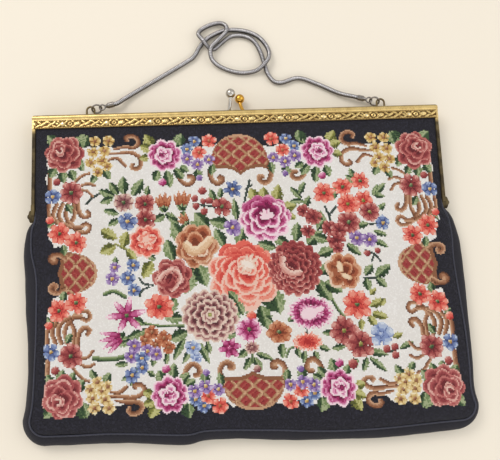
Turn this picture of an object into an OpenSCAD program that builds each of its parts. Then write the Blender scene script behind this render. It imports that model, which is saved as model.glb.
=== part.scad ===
// Flat evening bag of flowered cloth on a hinged metal frame, with a kiss-lock clasp and a snake chain.
// Millimetres. The bag lies on its back: +Z is up, +Y points from the pouch to the clasp.

/* [Bag] */
// Height from the lower edge of the pouch to the top of the frame
bag_h = 182; // [165:1:205]
// How far a side seam stands out past the frame near the bottom
low_flare = 1.5; // [0:0.25:12]
// How far a side seam stands out past the frame just under the hinge
waist_flare = 0.25; // [0:0.25:6]
// How far below the hinges the side seams reach that width
waist_run = 7; // [5:0.5:16]
// Radius of the bottom corners at the seam
corner_r = 7; // [6:1:20]
// How far the gusset stands out past the seam
bulge = 5; // [3:0.5:8]
// Rise of the front panel in its middle
crown = 1.8; // [0.5:0.1:4]
// Thickness of the outer cloth
cloth_t = 1; // [0.6:0.1:1.4]
// Thickness of the lining cloth
lining_t = 0.4; // [0.3:0.1:0.6]
// Radius of the piping in the seams
piping_r = 0.8; // [0.6:0.1:1]

/* [Frame] */
// Outer width of the frame
frame_w = 230; // [215:1:240]
// Height of the top bar
bar_h = 8; // [7:0.5:11]
// Depth of one half of the frame
half_depth = 5.2; // [5:0.1:6.5]
// Thickness of the folded sheet
sheet_t = 0.7; // [0.6:0.1:0.9]
// Radius of the rolled bead along the top of the bar
bead_r = 1.7; // [1.5:0.1:2]
// How far the bead stands proud of the bar's face
bead_proud = 0.5; // [0.4:0.1:0.7]
// Thickness of a side arm
arm_t = 1.6; // [1.2:0.1:2]
// Radius of the top corners of the frame
frame_corner_r = 2; // [1:0.5:3]
// Distance from the top of the frame to the hinge
hinge_drop = 57; // [45:1:70]
// Radius of the hinge eyes
eye_r = 3.4; // [3:0.1:4]
// Radius of the hinge rivets
rivet_r = 1; // [0.8:0.1:1.3]
// Height of a rivet's outer dome
dome_h = 1.6; // [1:0.1:2]
// Thickness of a rivet's inner head
inner_head_t = 0.8; // [0.6:0.1:1]

/* [Ornament] */
// Distance from flower to flower on the bar
flower_pitch = 24.5; // [18:0.5:32]
// Height of the stamped relief above its strip
relief_h = 0.35; // [0.2:0.05:0.4]

/* [Clasp] */
// Diameter of the clasp balls
ball_d = 5.5; // [4.8:0.1:5.7]
// Diameter of the clasp stems
stem_d = 2; // [1.6:0.1:2.2]
// Height of the back ball's centre above the top of the bar
back_rise = 11.05; // [11:0.05:13]
// Height of the front ball's centre above the top of the bar
front_rise = 8.5; // [7.5:0.1:8.8]

/* [Chain] */
// Distance from the end of the frame to a chain eye
eye_inset = 31; // [22:1:40]
// Diameter of the wire of the eyes
eye_wire = 1.1; // [1:0.1:1.2]
// Diameter of the wire of the jump rings
ring_wire = 1; // [0.8:0.1:1]
// Diameter of the chain
chain_d = 2.6; // [2:0.1:2.8]
// Length of an end cap
cap_len = 5; // [4:0.5:7]

/* [Fits] */
// Gap between the two halves of the frame
split_gap = 0.3; // [0.2:0.1:0.6]
// Radial clearance of a rivet in the moving half
run_gap = 0.05; // [0.03:0.01:0.1]
// Radial clearance of a rivet in the fixed half
seat_gap = 0.02; // [0.01:0.01:0.03]
// Gap between the plates of a hinge
plate_gap = 0.1; // [0.1:0.05:0.2]
// Gap between cloth and metal
cloth_gap = 0.3; // [0.3:0.05:0.5]
// Gap between neighbouring layers of cloth
layer_gap = 0.2; // [0.15:0.05:0.3]

/* [Hidden] */
$fn = 48;

// Heights along Y, measured from the middle of the whole outline
ball_r = ball_d / 2;
total_h = bag_h + back_rise + ball_r;
low_y = -total_h / 2;
top_y = low_y + bag_h;
hinge_y = top_y - hinge_drop;
bar_y = top_y - bar_h;
flange_drop = 0.4;
flange_y = top_y - flange_drop;
seam_low_y = low_y + bulge;
corner_y = seam_low_y + corner_r;
tuck_y = bar_y + 1.5;

// Levels along Z
total_d = 2 * half_depth + split_gap;
hinge_z = total_d / 2;
face_in_z = bead_proud + sheet_t;
lift = face_in_z + cloth_gap;
front_z = total_d - face_in_z - cloth_gap;
front_piping_z = front_z - cloth_t / 2;
back_piping_z = piping_r;
gusset_high_z = front_piping_z - piping_r - layer_gap;
gusset_low_z = back_piping_z + piping_r + layer_gap;
lining_front_z = front_z - cloth_t - 1.5 * layer_gap;
lining_back_z = cloth_t + layer_gap;

// Places along X
arm_out_x = frame_w / 2;
arm_in_x = arm_out_x - arm_t;
outer_in_x = arm_out_x + plate_gap;
outer_out_x = outer_in_x + arm_t;
head_in_x = arm_in_x - plate_gap - inner_head_t;
seam_frame_x = head_in_x - cloth_gap - piping_r;
seam_waist_x = frame_w / 2 + waist_flare;
seam_low_x = frame_w / 2 + low_flare;
corner_x = seam_low_x - corner_r;
eye_x = frame_w / 2 - eye_inset;

// Cloth insets from the line of the seam
panel_inset = piping_r + layer_gap;
lining_inset = 2 * piping_r + layer_gap;
side_tuck = 1;

function clamped(t) = max(0, min(1, t));
function eased(t) = let(c = clamped(t)) c * c * (3 - 2 * c);

// The seam's half width at height y, inside the frame's arms and wider below the hinges
function below_hinge(y, run) = eased((hinge_y - eye_r - y) / run);
waist_y = hinge_y - eye_r - waist_run;
function seam_x(y) = seam_frame_x + (seam_waist_x - seam_frame_x) * below_hinge(y, waist_run)
    + (seam_low_x - seam_waist_x) * clamped((waist_y - y) / (waist_y - corner_y));
function panel_x(y, inset) = y < corner_y
    ? corner_x + sqrt(max(0, pow(corner_r - inset, 2) - pow(corner_y - y, 2)))
    : seam_x(y) - inset;

// Lift of the back cloth where it goes in behind the back bar
function back_lift(y) = lift * clamped((y - bar_y + 7) / 6);

// Closed rings joined into one solid; each ring runs anticlockwise seen from the next one.
// The ends are closed across the ring, or as a fan from its first point
function fan_cap(n) = [for (j = [1:n - 2]) [0, j, j + 1]];
function strip_cap(n) = [for (j = [0:n / 2 - 2]) each [[j, j + 1, n - 2 - j], [j, n - 2 - j, n - 1 - j]]];
function turned(t, k) = [t[2] + k, t[1] + k, t[0] + k];
module skin(rings, cap) {
    n = len(rings[0]);
    m = len(rings);
    polyhedron(points = [for (ring = rings) each ring], faces = concat(
        cap,
        [for (i = [0:m - 2]) for (j = [0:n - 1]) [i * n + j, (i + 1) * n + j, (i + 1) * n + (j + 1) % n]],
        [for (i = [0:m - 2]) for (j = [0:n - 1]) [i * n + j, (i + 1) * n + (j + 1) % n, i * n + (j + 1) % n]],
        [for (t = cap) turned(t, (m - 1) * n)]));
}

// The line of the seam: place, outward direction
flare_y = hinge_y - eye_r;
bulge_run = waist_run + 3;
side_ys = concat(
    [for (i = [0:3]) tuck_y + (hinge_y - tuck_y) * i / 4],
    [hinge_y],
    [for (i = [0:6]) flare_y - bulge_run * i / 7],
    [for (i = [0:8]) flare_y - bulge_run + (corner_y - flare_y + bulge_run) * i / 8]);
half_edge = concat(
    [for (y = side_ys) [seam_x(y), y, 1, 0]],
    [for (a = [15:15:75]) [corner_x + corner_r * cos(a), corner_y - corner_r * sin(a), cos(a), -sin(a)]],
    [for (i = [0:4]) [corner_x * (1 - i / 4), seam_low_y, 0, -1]]);
edge = concat(half_edge, [for (i = [len(half_edge) - 2:-1:0])
    [-half_edge[i][0], half_edge[i][1], -half_edge[i][2], half_edge[i][3]]]);

// A crowned sheet that follows the seam, with its upper face at level z along the edges
panel_cols = 14;
function crown_at(u, y) = let(v = clamped((y - seam_low_y) / (bar_y - seam_low_y)) * 2 - 1)
    crown * (1 - pow(u, 4)) * (1 - pow(v, 6));
function sheet_ring(y, inset, z, t) = let(x = panel_x(y, inset)) concat(
    [for (i = [0:panel_cols]) let(u = 2 * i / panel_cols - 1) [u * x, y, z + crown_at(u, y)]],
    [for (i = [panel_cols:-1:0]) let(u = 2 * i / panel_cols - 1) [u * x, y, z - t + crown_at(u, y)]]);
module crowned_sheet(inset, z, t) {
    r = corner_r - inset;
    ys = concat([for (a = [0:15:75]) corner_y - r * cos(a)],
        [for (i = [len(side_ys) - 1:-1:0]) side_ys[i]]);
    skin([for (y = ys) sheet_ring(y, inset, z, t)], strip_cap(2 * panel_cols + 2));
}

// A flat sheet that steps up behind the back bar
module flat_sheet(inset, z, t) {
    r = corner_r - inset;
    ys = concat([for (a = [0:15:75]) corner_y - r * cos(a)],
        [for (i = [len(side_ys) - 1:-1:0]) side_ys[i]]);
    right = [for (y = ys) [panel_x(y, inset), y]];
    left = [for (i = [len(ys) - 1:-1:0]) [-panel_x(ys[i], inset), ys[i]]];
    step_ys = [low_y, bar_y - 7, bar_y - 1, top_y];
    intersection() {
        along_x(2 * seam_low_x + 20) polygon(concat(
            [for (y = step_ys) [y, z + back_lift(y)]],
            [for (i = [3:-1:0]) [step_ys[i], z + t + back_lift(step_ys[i])]]));
        linear_extrude(height = total_d) polygon(concat(right, left));
    }
}

// A flat shape in Y and Z, drawn out along X about the middle
module along_x(length) {
    translate([-length / 2, 0, 0]) rotate([90, 0, 90]) linear_extrude(height = length) children();
}

// The other half of the frame
module front_half() {
    translate([0, 0, total_d]) mirror([0, 0, 1]) children();
}

module both_sides() {
    children();
    mirror([1, 0, 0]) children();
}

module front_panel() {
    color("LightGray") crowned_sheet(panel_inset, front_z, cloth_t);
}

module back_panel() {
    color("DimGray") flat_sheet(panel_inset, 0, cloth_t);
}

module lining_front() {
    color("Ivory") crowned_sheet(lining_inset, lining_front_z, lining_t);
}

module lining_back() {
    color("Ivory") flat_sheet(lining_inset, lining_back_z, lining_t);
}

// The gusset: a curved wall from hinge to hinge that bulges past the seam
function gusset_ring(p) = let(
    k = below_hinge(p[1], bulge_run),
    base = side_tuck * (k - 1),
    out = side_tuck + (bulge - side_tuck) * k,
    mid = (gusset_high_z + gusset_low_z) / 2,
    half = (gusset_high_z - gusset_low_z) / 2) concat(
    [for (a = [-90:22.5:90]) gusset_point(p, base + out * cos(a), mid + half * sin(a))],
    [for (a = [90:-22.5:-90])
        gusset_point(p, base + (out - 0.8 * cloth_t) * cos(a), mid + (half - 0.8 * cloth_t) * sin(a))]);
function gusset_point(p, n, z) = [p[0] + p[2] * n, p[1] + p[3] * n, z];
module gusset() {
    color("DimGray") skin([for (p = edge) if (p[1] <= hinge_y) gusset_ring(p)], strip_cap(18));
}

module piping(z, top) {
    cut = [for (p = edge) [p[0], min(p[1], top), p[2], p[3]]];
    rings = [for (p = cut) [for (a = [0:60:300]) gusset_point(p, piping_r * cos(a), z + piping_r * sin(a))]];
    skin(rings, fan_cap(6));
}
module front_piping() {
    color("Gray") piping(front_piping_z, tuck_y);
}
module back_piping() {
    color("Gray") piping(back_piping_z, bar_y - cloth_gap);
}

// One top bar: face, rolled bead and top flange, with the strips of the two arms down to end_y
module half_frame(end_y) {
    along_x(frame_w) union() {
        translate([bar_y, bead_proud]) square([bar_h - bead_r, sheet_t]);
        translate([top_y - bead_r, bead_r]) circle(r = bead_r);
        translate([flange_y - sheet_t, bead_r]) square([sheet_t, half_depth - bead_r]);
    }
    both_sides() translate([arm_in_x, end_y, face_in_z - sheet_t / 2])
        cube([arm_t, flange_y - sheet_t / 2 - end_y, half_depth - face_in_z + sheet_t / 2]);
}

// One hinge plate: a strip from the arm to an eye round the hinge axis
module hinge_plate(x, from_y) {
    translate([x, hinge_y, face_in_z - sheet_t / 2])
        cube([arm_t, from_y - hinge_y, half_depth - face_in_z + sheet_t / 2]);
    translate([x, hinge_y, hinge_z]) rotate([0, 90, 0]) cylinder(r = eye_r, h = arm_t);
}

module hinge_bore(r) {
    translate([-frame_w, hinge_y, hinge_z]) rotate([0, 90, 0]) cylinder(r = r, h = 2 * frame_w);
}

// What is taken off the ends of the bars to round their top corners
module corner_cut() {
    both_sides() translate([frame_w / 2 - frame_corner_r, top_y - frame_corner_r, -1]) difference() {
        cube([frame_corner_r + 1, frame_corner_r + 1, total_d + 2]);
        cylinder(r = frame_corner_r, h = total_d + 2);
    }
}

module frame_front() {
    color("Goldenrod") difference() {
        front_half() union() {
            half_frame(hinge_y + eye_r);
            both_sides() hinge_plate(arm_in_x, hinge_y + eye_r + 0.5);
        }
        hinge_bore(rivet_r + run_gap);
        corner_cut();
    }
}

// The back arms step outward past the front eyes
step_y = hinge_y + eye_r + 0.4;
step_len = 3;
module frame_back() {
    color("Goldenrod") difference() {
        union() {
            half_frame(step_y);
            both_sides() translate([arm_in_x + arm_t / 2, step_y, face_in_z - sheet_t / 2])
                cube([outer_out_x - arm_in_x - arm_t / 2, step_len, half_depth - face_in_z + sheet_t / 2]);
            both_sides() hinge_plate(outer_in_x, step_y + step_len / 2);
        }
        hinge_bore(rivet_r + seat_gap);
        corner_cut();
    }
}

// Stamped strip of flowers and leaves on the bar's face
strip_w = bar_h - 2 * bead_r - 0.5;
strip_len = frame_w - 3;
strip_base = bead_proud - relief_h;
strip_cols = 188;
strip_rows = 7;
function dome(q) = max(0, 1 - q);
function leaf(x, y, cx, cy, a, l, w) = let(
    u = (x - cx) * cos(a) + (y - cy) * sin(a),
    v = (y - cy) * cos(a) - (x - cx) * sin(a)) dome(pow(u / l, 2) + pow(v / w, 2));
function relief(x, y) = let(
    q = abs(x - flower_pitch * round(x / flower_pitch)),
    s = x > flower_pitch * round(x / flower_pitch) ? 1 : -1,
    r = norm([q, y]),
    petals = 1.7 + 0.3 * cos(6 * atan2(y, q)),
    k = flower_pitch / 24.5) max(
    dome(pow(r / petals, 2)),
    0.85 * leaf(q, s * y, 4.3 * k, 0.5, 22, 2.3, 1),
    0.75 * leaf(q, s * y, 7.9 * k, -0.5, -20, 2.2, 0.95),
    0.6 * dome(pow((q - 11.6 * k) / 1.4, 2) + pow(y / 1.1, 2)));
function strip_ring(x) = let(y0 = bar_y + 0.3, step = strip_w / strip_rows) concat(
    [[x, y0, 0], [x, y0 + strip_w, 0]],
    [for (j = [strip_rows:-1:0]) let(y = y0 + j * step)
        [x, y, strip_base * 0.9 + relief_h * (abs(x) < strip_len / 2 ? relief(x, y - y0 - strip_w / 2) : 0)]]);
module ornament() {
    skin([for (i = [0:strip_cols]) strip_ring(strip_len * (i / strip_cols - 0.5))], fan_cap(strip_rows + 3));
}
module ornament_front() {
    color("Gold") translate([0, 0, total_d - bead_proud]) ornament();
}
module ornament_back() {
    color("Gold") front_half() translate([0, 0, total_d - bead_proud]) ornament();
}

// A rivet: flat inner head, shank and domed outer head in one turned shape
module hinge_rivet() {
    dome_at = outer_out_x + plate_gap - head_in_x;
    translate([head_in_x, hinge_y, hinge_z]) rotate([0, 90, 0]) rotate_extrude() {
        square([rivet_r * 1.6, inner_head_t]);
        square([rivet_r, dome_at + dome_h / 2]);
        translate([0, dome_at]) intersection() {
            translate([0, -0.15]) circle(r = dome_h + 0.15);
            square(2 * dome_h);
        }
    }
}
module hinge_rivet_right() {
    color("Goldenrod") hinge_rivet();
}
module hinge_rivet_left() {
    color("Goldenrod") mirror([1, 0, 0]) hinge_rivet();
}

// A bent stem with a ball: it leaves the bar at a slant and ends upright
module clasp_stem(base, tip) {
    d = norm([tip[0] - base[0], tip[2] - base[2]]);
    h = tip[1] - base[1];
    bend = (d * d + h * h) / (2 * d);
    turn = 2 * atan2(d, h);
    translate(base) rotate([0, -atan2(tip[2] - base[2], tip[0] - base[0]), 0]) {
        difference() {
            translate([d - bend, h, 0]) rotate([0, 0, -turn - 10])
                rotate_extrude(angle = turn + 10) translate([bend, 0]) circle(d = stem_d);
            translate([-10, -20, -10]) cube(20);
        }
        translate([d, h, 0]) sphere(d = ball_d);
    }
}
clasp_z = half_depth - stem_d / 2 - 0.55;
clasp_lean = 2.9;
module clasp_back() {
    color("Silver") clasp_stem([-5.4, flange_y, clasp_z], [-3.5, top_y + back_rise, clasp_z + clasp_lean]);
}
module clasp_front() {
    color("Goldenrod") clasp_stem([3.9, flange_y, total_d - clasp_z],
        [1.7, top_y + front_rise, total_d - clasp_z - clasp_lean]);
}

// Chain fittings, drawn on the left: wire staple, jump ring and end cap along one line
bead_edge_z = bead_r + sqrt(pow(bead_r, 2) - pow(bead_r - flange_drop, 2));
fit_z = bead_edge_z + eye_wire / 2 + 0.1;
fit_angle = 15;
ring_tilt = 55;
staple_r = 2.2;
staple_y = top_y + 4.2;
ring_r = 2.7;
loop_r = 1.6;
loop_wire = 0.9;
cap_r = chain_d / 2 + 0.35;
ring_at = staple_r - eye_wire / 2 - ring_wire / 2 - 0.25;
loop_at = ring_at + 2 * ring_r + loop_r - loop_wire / 2 - ring_wire / 2 - 0.15;
cap_at = loop_at + loop_r + loop_wire / 4;
mouth_at = cap_at + cap_len;
function on_line(d) = [-eye_x + d * cos(fit_angle), staple_y + d * sin(fit_angle), fit_z];

module ring(r, wire) {
    rotate_extrude() translate([r, 0]) circle(d = wire);
}
module chain_eye() {
    translate([-eye_x, staple_y, fit_z]) {
        rotate_extrude(angle = 180) translate([staple_r, 0]) circle(d = eye_wire);
        for (s = [-1, 1]) translate([s * staple_r, 0, 0])
            rotate([90, 0, 0]) cylinder(d = eye_wire, h = staple_y - flange_y);
    }
}
module chain_ring() {
    translate(on_line(ring_at + ring_r)) rotate([0, 0, fit_angle]) rotate([ring_tilt, 0, 0])
        ring(ring_r, ring_wire);
}
module chain_cap() {
    translate(on_line(loop_at)) ring(loop_r, loop_wire);
    translate(on_line(cap_at)) rotate([0, 0, fit_angle]) rotate([0, 90, 0]) {
        cylinder(r1 = cap_r * 0.45, r2 = cap_r, h = cap_len * 0.35);
        translate([0, 0, cap_len * 0.35]) cylinder(r = cap_r, h = cap_len * 0.65);
    }
}
module chain_eye_left() {
    color("Goldenrod") chain_eye();
}
module chain_eye_right() {
    color("Goldenrod") mirror([1, 0, 0]) chain_eye();
}
module chain_ring_left() {
    color("Silver") chain_ring();
}
module chain_ring_right() {
    color("Silver") mirror([1, 0, 0]) chain_ring();
}
module chain_cap_left() {
    color("Silver") chain_cap();
}
module chain_cap_right() {
    color("Silver") mirror([1, 0, 0]) chain_cap();
}

// The chain's route: x, height above the frame's top, and level (0 on the surface, 1 on another strand)
chain_route = [
    [-60, 14.5, 0.1], [-29, 33, 0], [-23.5, 37.5, 0], [-20.5, 42.5, 0], [-15, 48.3, 0], [-5, 52.5, 0],
    [6, 52, 0], [14.5, 48, 0], [19.5, 41, 0.1], [20, 34.5, 0.8], [17, 29.8, 0.95], [12, 26.5, 0.2],
    [3, 25.7, 0], [-7, 28.8, 0], [-13.2, 33.5, 0.45], [-14, 40, 1], [-9.5, 45.5, 0.9], [-5, 50, 1],
    [-4.5, 54, 0.85], [-8, 57, 0.2], [-14, 56.2, 0], [-19.5, 53, 0.15], [-21, 49.5, 0.7],
    [-18.5, 45.5, 1], [-15.5, 42, 0.3], [-12, 41, 0], [-8, 44.3, 0], [-2, 48.6, 0], [5.5, 48.8, 0],
    [11.5, 45.5, 0], [15, 39, 0], [17, 32, 0], [18.7, 25.5, 0], [22, 20.3, 0], [27, 19, 0],
    [37, 21.5, 0], [48, 17.5, 0], [60, 11.5, 0.15]];
route_scale = eye_x / 84;
function mirrored(p) = [-p[0], p[1], p[2]];
route = concat(
    [on_line(mouth_at), on_line(mouth_at + 2.5)],
    [for (p = chain_route)
        [p[0] * route_scale, top_y + p[1], chain_d / 2 + p[2] * (chain_d + 0.1)]],
    [mirrored(on_line(mouth_at + 2.5)), mirrored(on_line(mouth_at))]);
function route_at(i) = route[max(0, min(len(route) - 1, i))];
function spline(i, t) = 0.5 * (2 * route_at(i) + t * (route_at(i + 1) - route_at(i - 1))
    + t * t * (2 * route_at(i - 1) - 5 * route_at(i) + 4 * route_at(i + 1) - route_at(i + 2))
    + t * t * t * (3 * route_at(i) - route_at(i - 1) - 3 * route_at(i + 1) + route_at(i + 2)));
line = concat(
    [for (i = [0:len(route) - 2]) each norm(route[i + 1] - route[i]) < 4.4 ? [route[i]] : [route[i], spline(i, 0.5)]],
    [route[len(route) - 1]]);
function heading(i) = let(d = i == 0 ? line[1] - line[0] : i == len(line) - 1 ? line[i] - line[i - 1]
    : line[i + 1] - line[i - 1]) d / norm(d);
function tube_ring(i) = let(d = heading(i), side = cross([0, 0, 1], d), a = side / norm(side), b = cross(d, a))
    [for (q = [0:45:315]) line[i] + chain_d / 2 * (cos(q) * a + sin(q) * b)];
module chain() {
    color("DarkGray") skin([for (i = [0:len(line) - 1]) tube_ring(i)], fan_cap(8));
}

front_panel();
back_panel();
gusset();
front_piping();
back_piping();
lining_front();
lining_back();
frame_front();
frame_back();
ornament_front();
ornament_back();
hinge_rivet_left();
hinge_rivet_right();
clasp_front();
clasp_back();
chain_eye_left();
chain_eye_right();
chain_ring_left();
chain_ring_right();
chain_cap_left();
chain_cap_right();
chain();
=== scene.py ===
import math
import bpy
import numpy as np
from mathutils import Matrix, Vector


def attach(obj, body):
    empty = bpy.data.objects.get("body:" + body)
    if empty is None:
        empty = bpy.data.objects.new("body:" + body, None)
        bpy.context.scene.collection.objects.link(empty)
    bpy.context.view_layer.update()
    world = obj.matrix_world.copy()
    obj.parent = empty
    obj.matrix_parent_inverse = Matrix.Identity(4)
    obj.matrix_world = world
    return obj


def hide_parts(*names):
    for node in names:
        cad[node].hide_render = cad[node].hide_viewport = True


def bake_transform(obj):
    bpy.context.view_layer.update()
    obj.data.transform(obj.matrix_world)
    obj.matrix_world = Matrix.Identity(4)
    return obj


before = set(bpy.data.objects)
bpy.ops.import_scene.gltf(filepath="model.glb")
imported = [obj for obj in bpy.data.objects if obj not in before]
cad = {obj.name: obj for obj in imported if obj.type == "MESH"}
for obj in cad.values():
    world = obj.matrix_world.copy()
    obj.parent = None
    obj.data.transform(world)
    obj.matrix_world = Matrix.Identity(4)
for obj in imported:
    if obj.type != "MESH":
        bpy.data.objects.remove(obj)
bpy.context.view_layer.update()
mm = 0.001
rng = np.random.default_rng(11)
print("frame loaded:", len(cad), "nodes")


# Small tools for colours, shader nodes and meshes

def linear(rgb):
    c = np.asarray(rgb, float) / 255
    return np.where(c <= 0.04045, c / 12.92, ((c + 0.055) / 1.055) ** 2.4)


def tint(r, g, b):
    return (*(float(v) for v in linear((r, g, b))), 1.0)


class Wire:  # one output socket; arithmetic on it adds Math nodes
    def __init__(self, finish, out):
        self.finish, self.out = finish, out

    def calc(self, operation, a, b=0.0):
        return self.finish.node("ShaderNodeMath", {"operation": operation}, {0: a, 1: b})

    def __add__(self, other):
        return self.calc("ADD", self, other)

    def __sub__(self, other):
        return self.calc("SUBTRACT", self, other)

    def __rsub__(self, other):
        return self.calc("SUBTRACT", other, self)

    def __mul__(self, other):
        return self.calc("MULTIPLY", self, other)

    def __truediv__(self, other):
        return self.calc("DIVIDE", self, other)

    def __rtruediv__(self, other):
        return self.calc("DIVIDE", other, self)

    def __pow__(self, other):
        return self.calc("POWER", self, other)

    __radd__, __rmul__ = __add__, __mul__

    def does(self, operation, other=0.0):
        return self.calc(operation, self, other)


class Finish:  # a material and the nodes that make it
    def __init__(self, name, **sockets):
        self.material = bpy.data.materials.new(name)
        self.material.use_nodes = True
        self.tree = self.material.node_tree
        self.shader = self.tree.nodes["Principled BSDF"]
        self.feed(**sockets)

    def join(self, socket, value):
        if isinstance(value, Wire):
            self.tree.links.new(value.out, socket)
        else:
            socket.default_value = value

    def node(self, kind, settings=None, sockets=None, out=0):
        made = self.tree.nodes.new(kind)
        for key, value in (settings or {}).items():
            setattr(made, key, value)
        for key, value in (sockets or {}).items():
            found = made.inputs[key] if isinstance(key, int) else \
                next(s for s in made.inputs if s.name == key and s.enabled)
            self.join(found, value)
        if isinstance(out, str):
            return Wire(self, made.outputs[out])
        return Wire(self, [o for o in made.outputs if o.enabled][out])

    def feed(self, **sockets):
        for key, value in sockets.items():
            self.join(self.shader.inputs[key.replace("_", " ")], value)

    def place(self):
        return self.node("ShaderNodeTexCoord", out="Object")

    def axes(self, vector):
        made = self.node("ShaderNodeSeparateXYZ", {}, {"Vector": vector})
        return [Wire(self, o) for o in made.out.node.outputs]

    def noise(self, scale, detail):
        return self.node("ShaderNodeTexNoise", {}, {
            "Vector": self.place(), "Scale": scale, "Detail": detail})

    def mix(self, factor, a, b, blend="MIX"):
        return self.node("ShaderNodeMix", {"data_type": "RGBA", "blend_type": blend},
                         {"Factor": factor, "A": a, "B": b})

    def span(self, value, low, high, toLow, toHigh):
        return self.node("ShaderNodeMapRange", {}, {
            "Value": value, "From Min": low, "From Max": high, "To Min": toLow, "To Max": toHigh})

    def bump(self, height, distance):
        self.feed(Normal=self.node("ShaderNodeBump", {}, {"Height": height, "Distance": distance}))


def makePiece(name, points, faces, finish, smooth=True):
    mesh = bpy.data.meshes.new(name)
    mesh.from_pydata((np.asarray(points, float) * mm).tolist(), [], faces)
    mesh.polygons.foreach_set("use_smooth", [smooth] * len(mesh.polygons))
    mesh.materials.append(finish.material)
    piece = bpy.data.objects.new(name, mesh)
    bpy.context.scene.collection.objects.link(piece)
    return piece


def gridFaces(rows, cols, wrap=False):
    i, j = np.meshgrid(np.arange(rows - 1), np.arange(cols if wrap else cols - 1), indexing="ij")
    k = (j + 1) % cols
    faces = np.stack([i * cols + j, i * cols + k, (i + 1) * cols + k, (i + 1) * cols + j], -1)
    return faces.reshape(-1, 4).tolist()


def makeSheet(name, x, y, z, finish, flip=False):
    # a piece from a grid of points; flip turns its faces over
    faces = gridFaces(*x.shape)
    if flip:
        faces = [face[::-1] for face in faces]
    return makePiece(name, np.stack([x, y, z], -1).reshape(-1, 3), faces, finish)


def mark(piece, name, values):
    # a value at each point, for the material to read
    held = piece.data.attributes.new(name, "FLOAT", "POINT")
    held.data.foreach_set("value", values.astype(np.float32).ravel())


def smoothLine(points, step):
    # the spline through the points, cut into equal steps
    p = np.asarray(points, float)
    p = np.vstack([p[:1], p, p[-1:]])
    t = np.linspace(0, 1, 24, endpoint=False)[:, None]
    run = [0.5 * (2 * b + t * (c - a) + t ** 2 * (2 * a - 5 * b + 4 * c - d)
                  + t ** 3 * (3 * b - a - 3 * c + d))
           for a, b, c, d in zip(p, p[1:], p[2:], p[3:])]
    run = np.vstack(run + [p[-1:]])
    s = np.concatenate([[0], np.cumsum(np.linalg.norm(np.diff(run, axis=0), axis=1))])
    at = np.linspace(0, s[-1], max(2, int(round(s[-1] / step)) + 1))
    return np.stack([np.interp(at, s, run[:, k]) for k in range(run.shape[1])], -1)


def tube(line, radius, sides):
    # rings round a line; radius(step, angle) gives the surface
    way = np.gradient(line, axis=0)
    way /= np.linalg.norm(way, axis=1)[:, None]
    across = np.cross([0, 0, 1], way)
    across /= np.linalg.norm(across, axis=1)[:, None]
    over = np.cross(way, across)
    angle = np.arange(sides) * 2 * math.pi / sides
    r = radius(np.arange(len(line))[:, None], angle[None, :])[..., None]
    points = line[:, None] + r * (np.cos(angle)[None, :, None] * across[:, None]
                                  + np.sin(angle)[None, :, None] * over[:, None])
    faces = gridFaces(len(line), sides, True)
    last = (len(line) - 1) * sides
    return points.reshape(-1, 3), faces + [list(range(sides))[::-1], [last + k for k in range(sides)]]


# Camera, light and floor

shot = dict(target=(4.26, 14.631, 10.0), away=330.4, elevation=80.897, azimuth=-14.785,
            roll=12.527, lens=43.2)
# lamps: place, width and height, power, colour
light = dict(sky=0.9, floorHalf=3000, floorZ=-0.3,
             lamps=[("keyLamp", (-0.55, 0.62, 0.85), (0.7, 0.45), 4.6, (1.0, 0.97, 0.93)),
                    ("fillLamp", (0.8, 0.1, 0.7), (0.8, 0.8), 2.0, (0.95, 0.97, 1.0)),
                    ("rimLamp", (0.1, -0.85, 0.55), (1.0, 0.5), 1.7, (1.0, 0.98, 0.95))])


def aim(settings):
    a, e, r = (math.radians(settings[k]) for k in ("azimuth", "elevation", "roll"))
    back = Vector((math.sin(a) * math.cos(e), -math.cos(a) * math.cos(e), math.sin(e)))
    right = Vector((math.cos(a), math.sin(a), 0))
    up = back.cross(right)
    turned = right * math.cos(r) + up * math.sin(r)
    upright = up * math.cos(r) - right * math.sin(r)
    spot = (Vector(settings["target"]) + settings["away"] * back) * mm
    return Matrix((turned, upright, back)).transposed().to_4x4(), spot


def makeCamera():
    lens = bpy.data.cameras.new("camera")
    lens.lens, lens.sensor_width = shot["lens"], 36
    lens.clip_start, lens.clip_end = 0.01, 20
    camera = bpy.data.objects.new("camera", lens)
    bpy.context.scene.collection.objects.link(camera)
    turn, spot = aim(shot)
    camera.matrix_world = Matrix.Translation(spot) @ turn
    bpy.context.scene.camera = camera


def makeLamp(name, spot, size, power, shade):
    lamp = bpy.data.lights.new(name, "AREA")
    lamp.shape, lamp.size, lamp.size_y = "RECTANGLE", size[0], size[1]
    lamp.energy, lamp.color = power, shade
    piece = bpy.data.objects.new(name, lamp)
    bpy.context.scene.collection.objects.link(piece)
    piece.location = spot
    piece.rotation_euler = (Vector((0, 0.02, 0)) - Vector(spot)).to_track_quat("-Z", "Y").to_euler()


def makeStudio():
    for lamp in light["lamps"]:
        makeLamp(*lamp)
    world = bpy.data.worlds.new("studio")
    world.use_nodes = True
    sky = world.node_tree.nodes["Background"]
    sky.inputs["Color"].default_value = tint(236, 234, 230)
    sky.inputs["Strength"].default_value = light["sky"]
    bpy.context.scene.world = world
    floorFinish = Finish("paleFloor", Base_Color=tint(232, 224, 210), Roughness=0.8)
    side, z = light["floorHalf"], light["floorZ"]
    corners = [(-side, -side, z), (side, -side, z), (side, side, z), (-side, side, z)]
    makePiece("floor", corners, [(0, 1, 2, 3)], floorFinish, False)
    bpy.context.scene.view_settings.view_transform = "Standard"


makeCamera()
makeStudio()
print("camera and studio ready")


# The snake chain, with the same route as its solid

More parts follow.
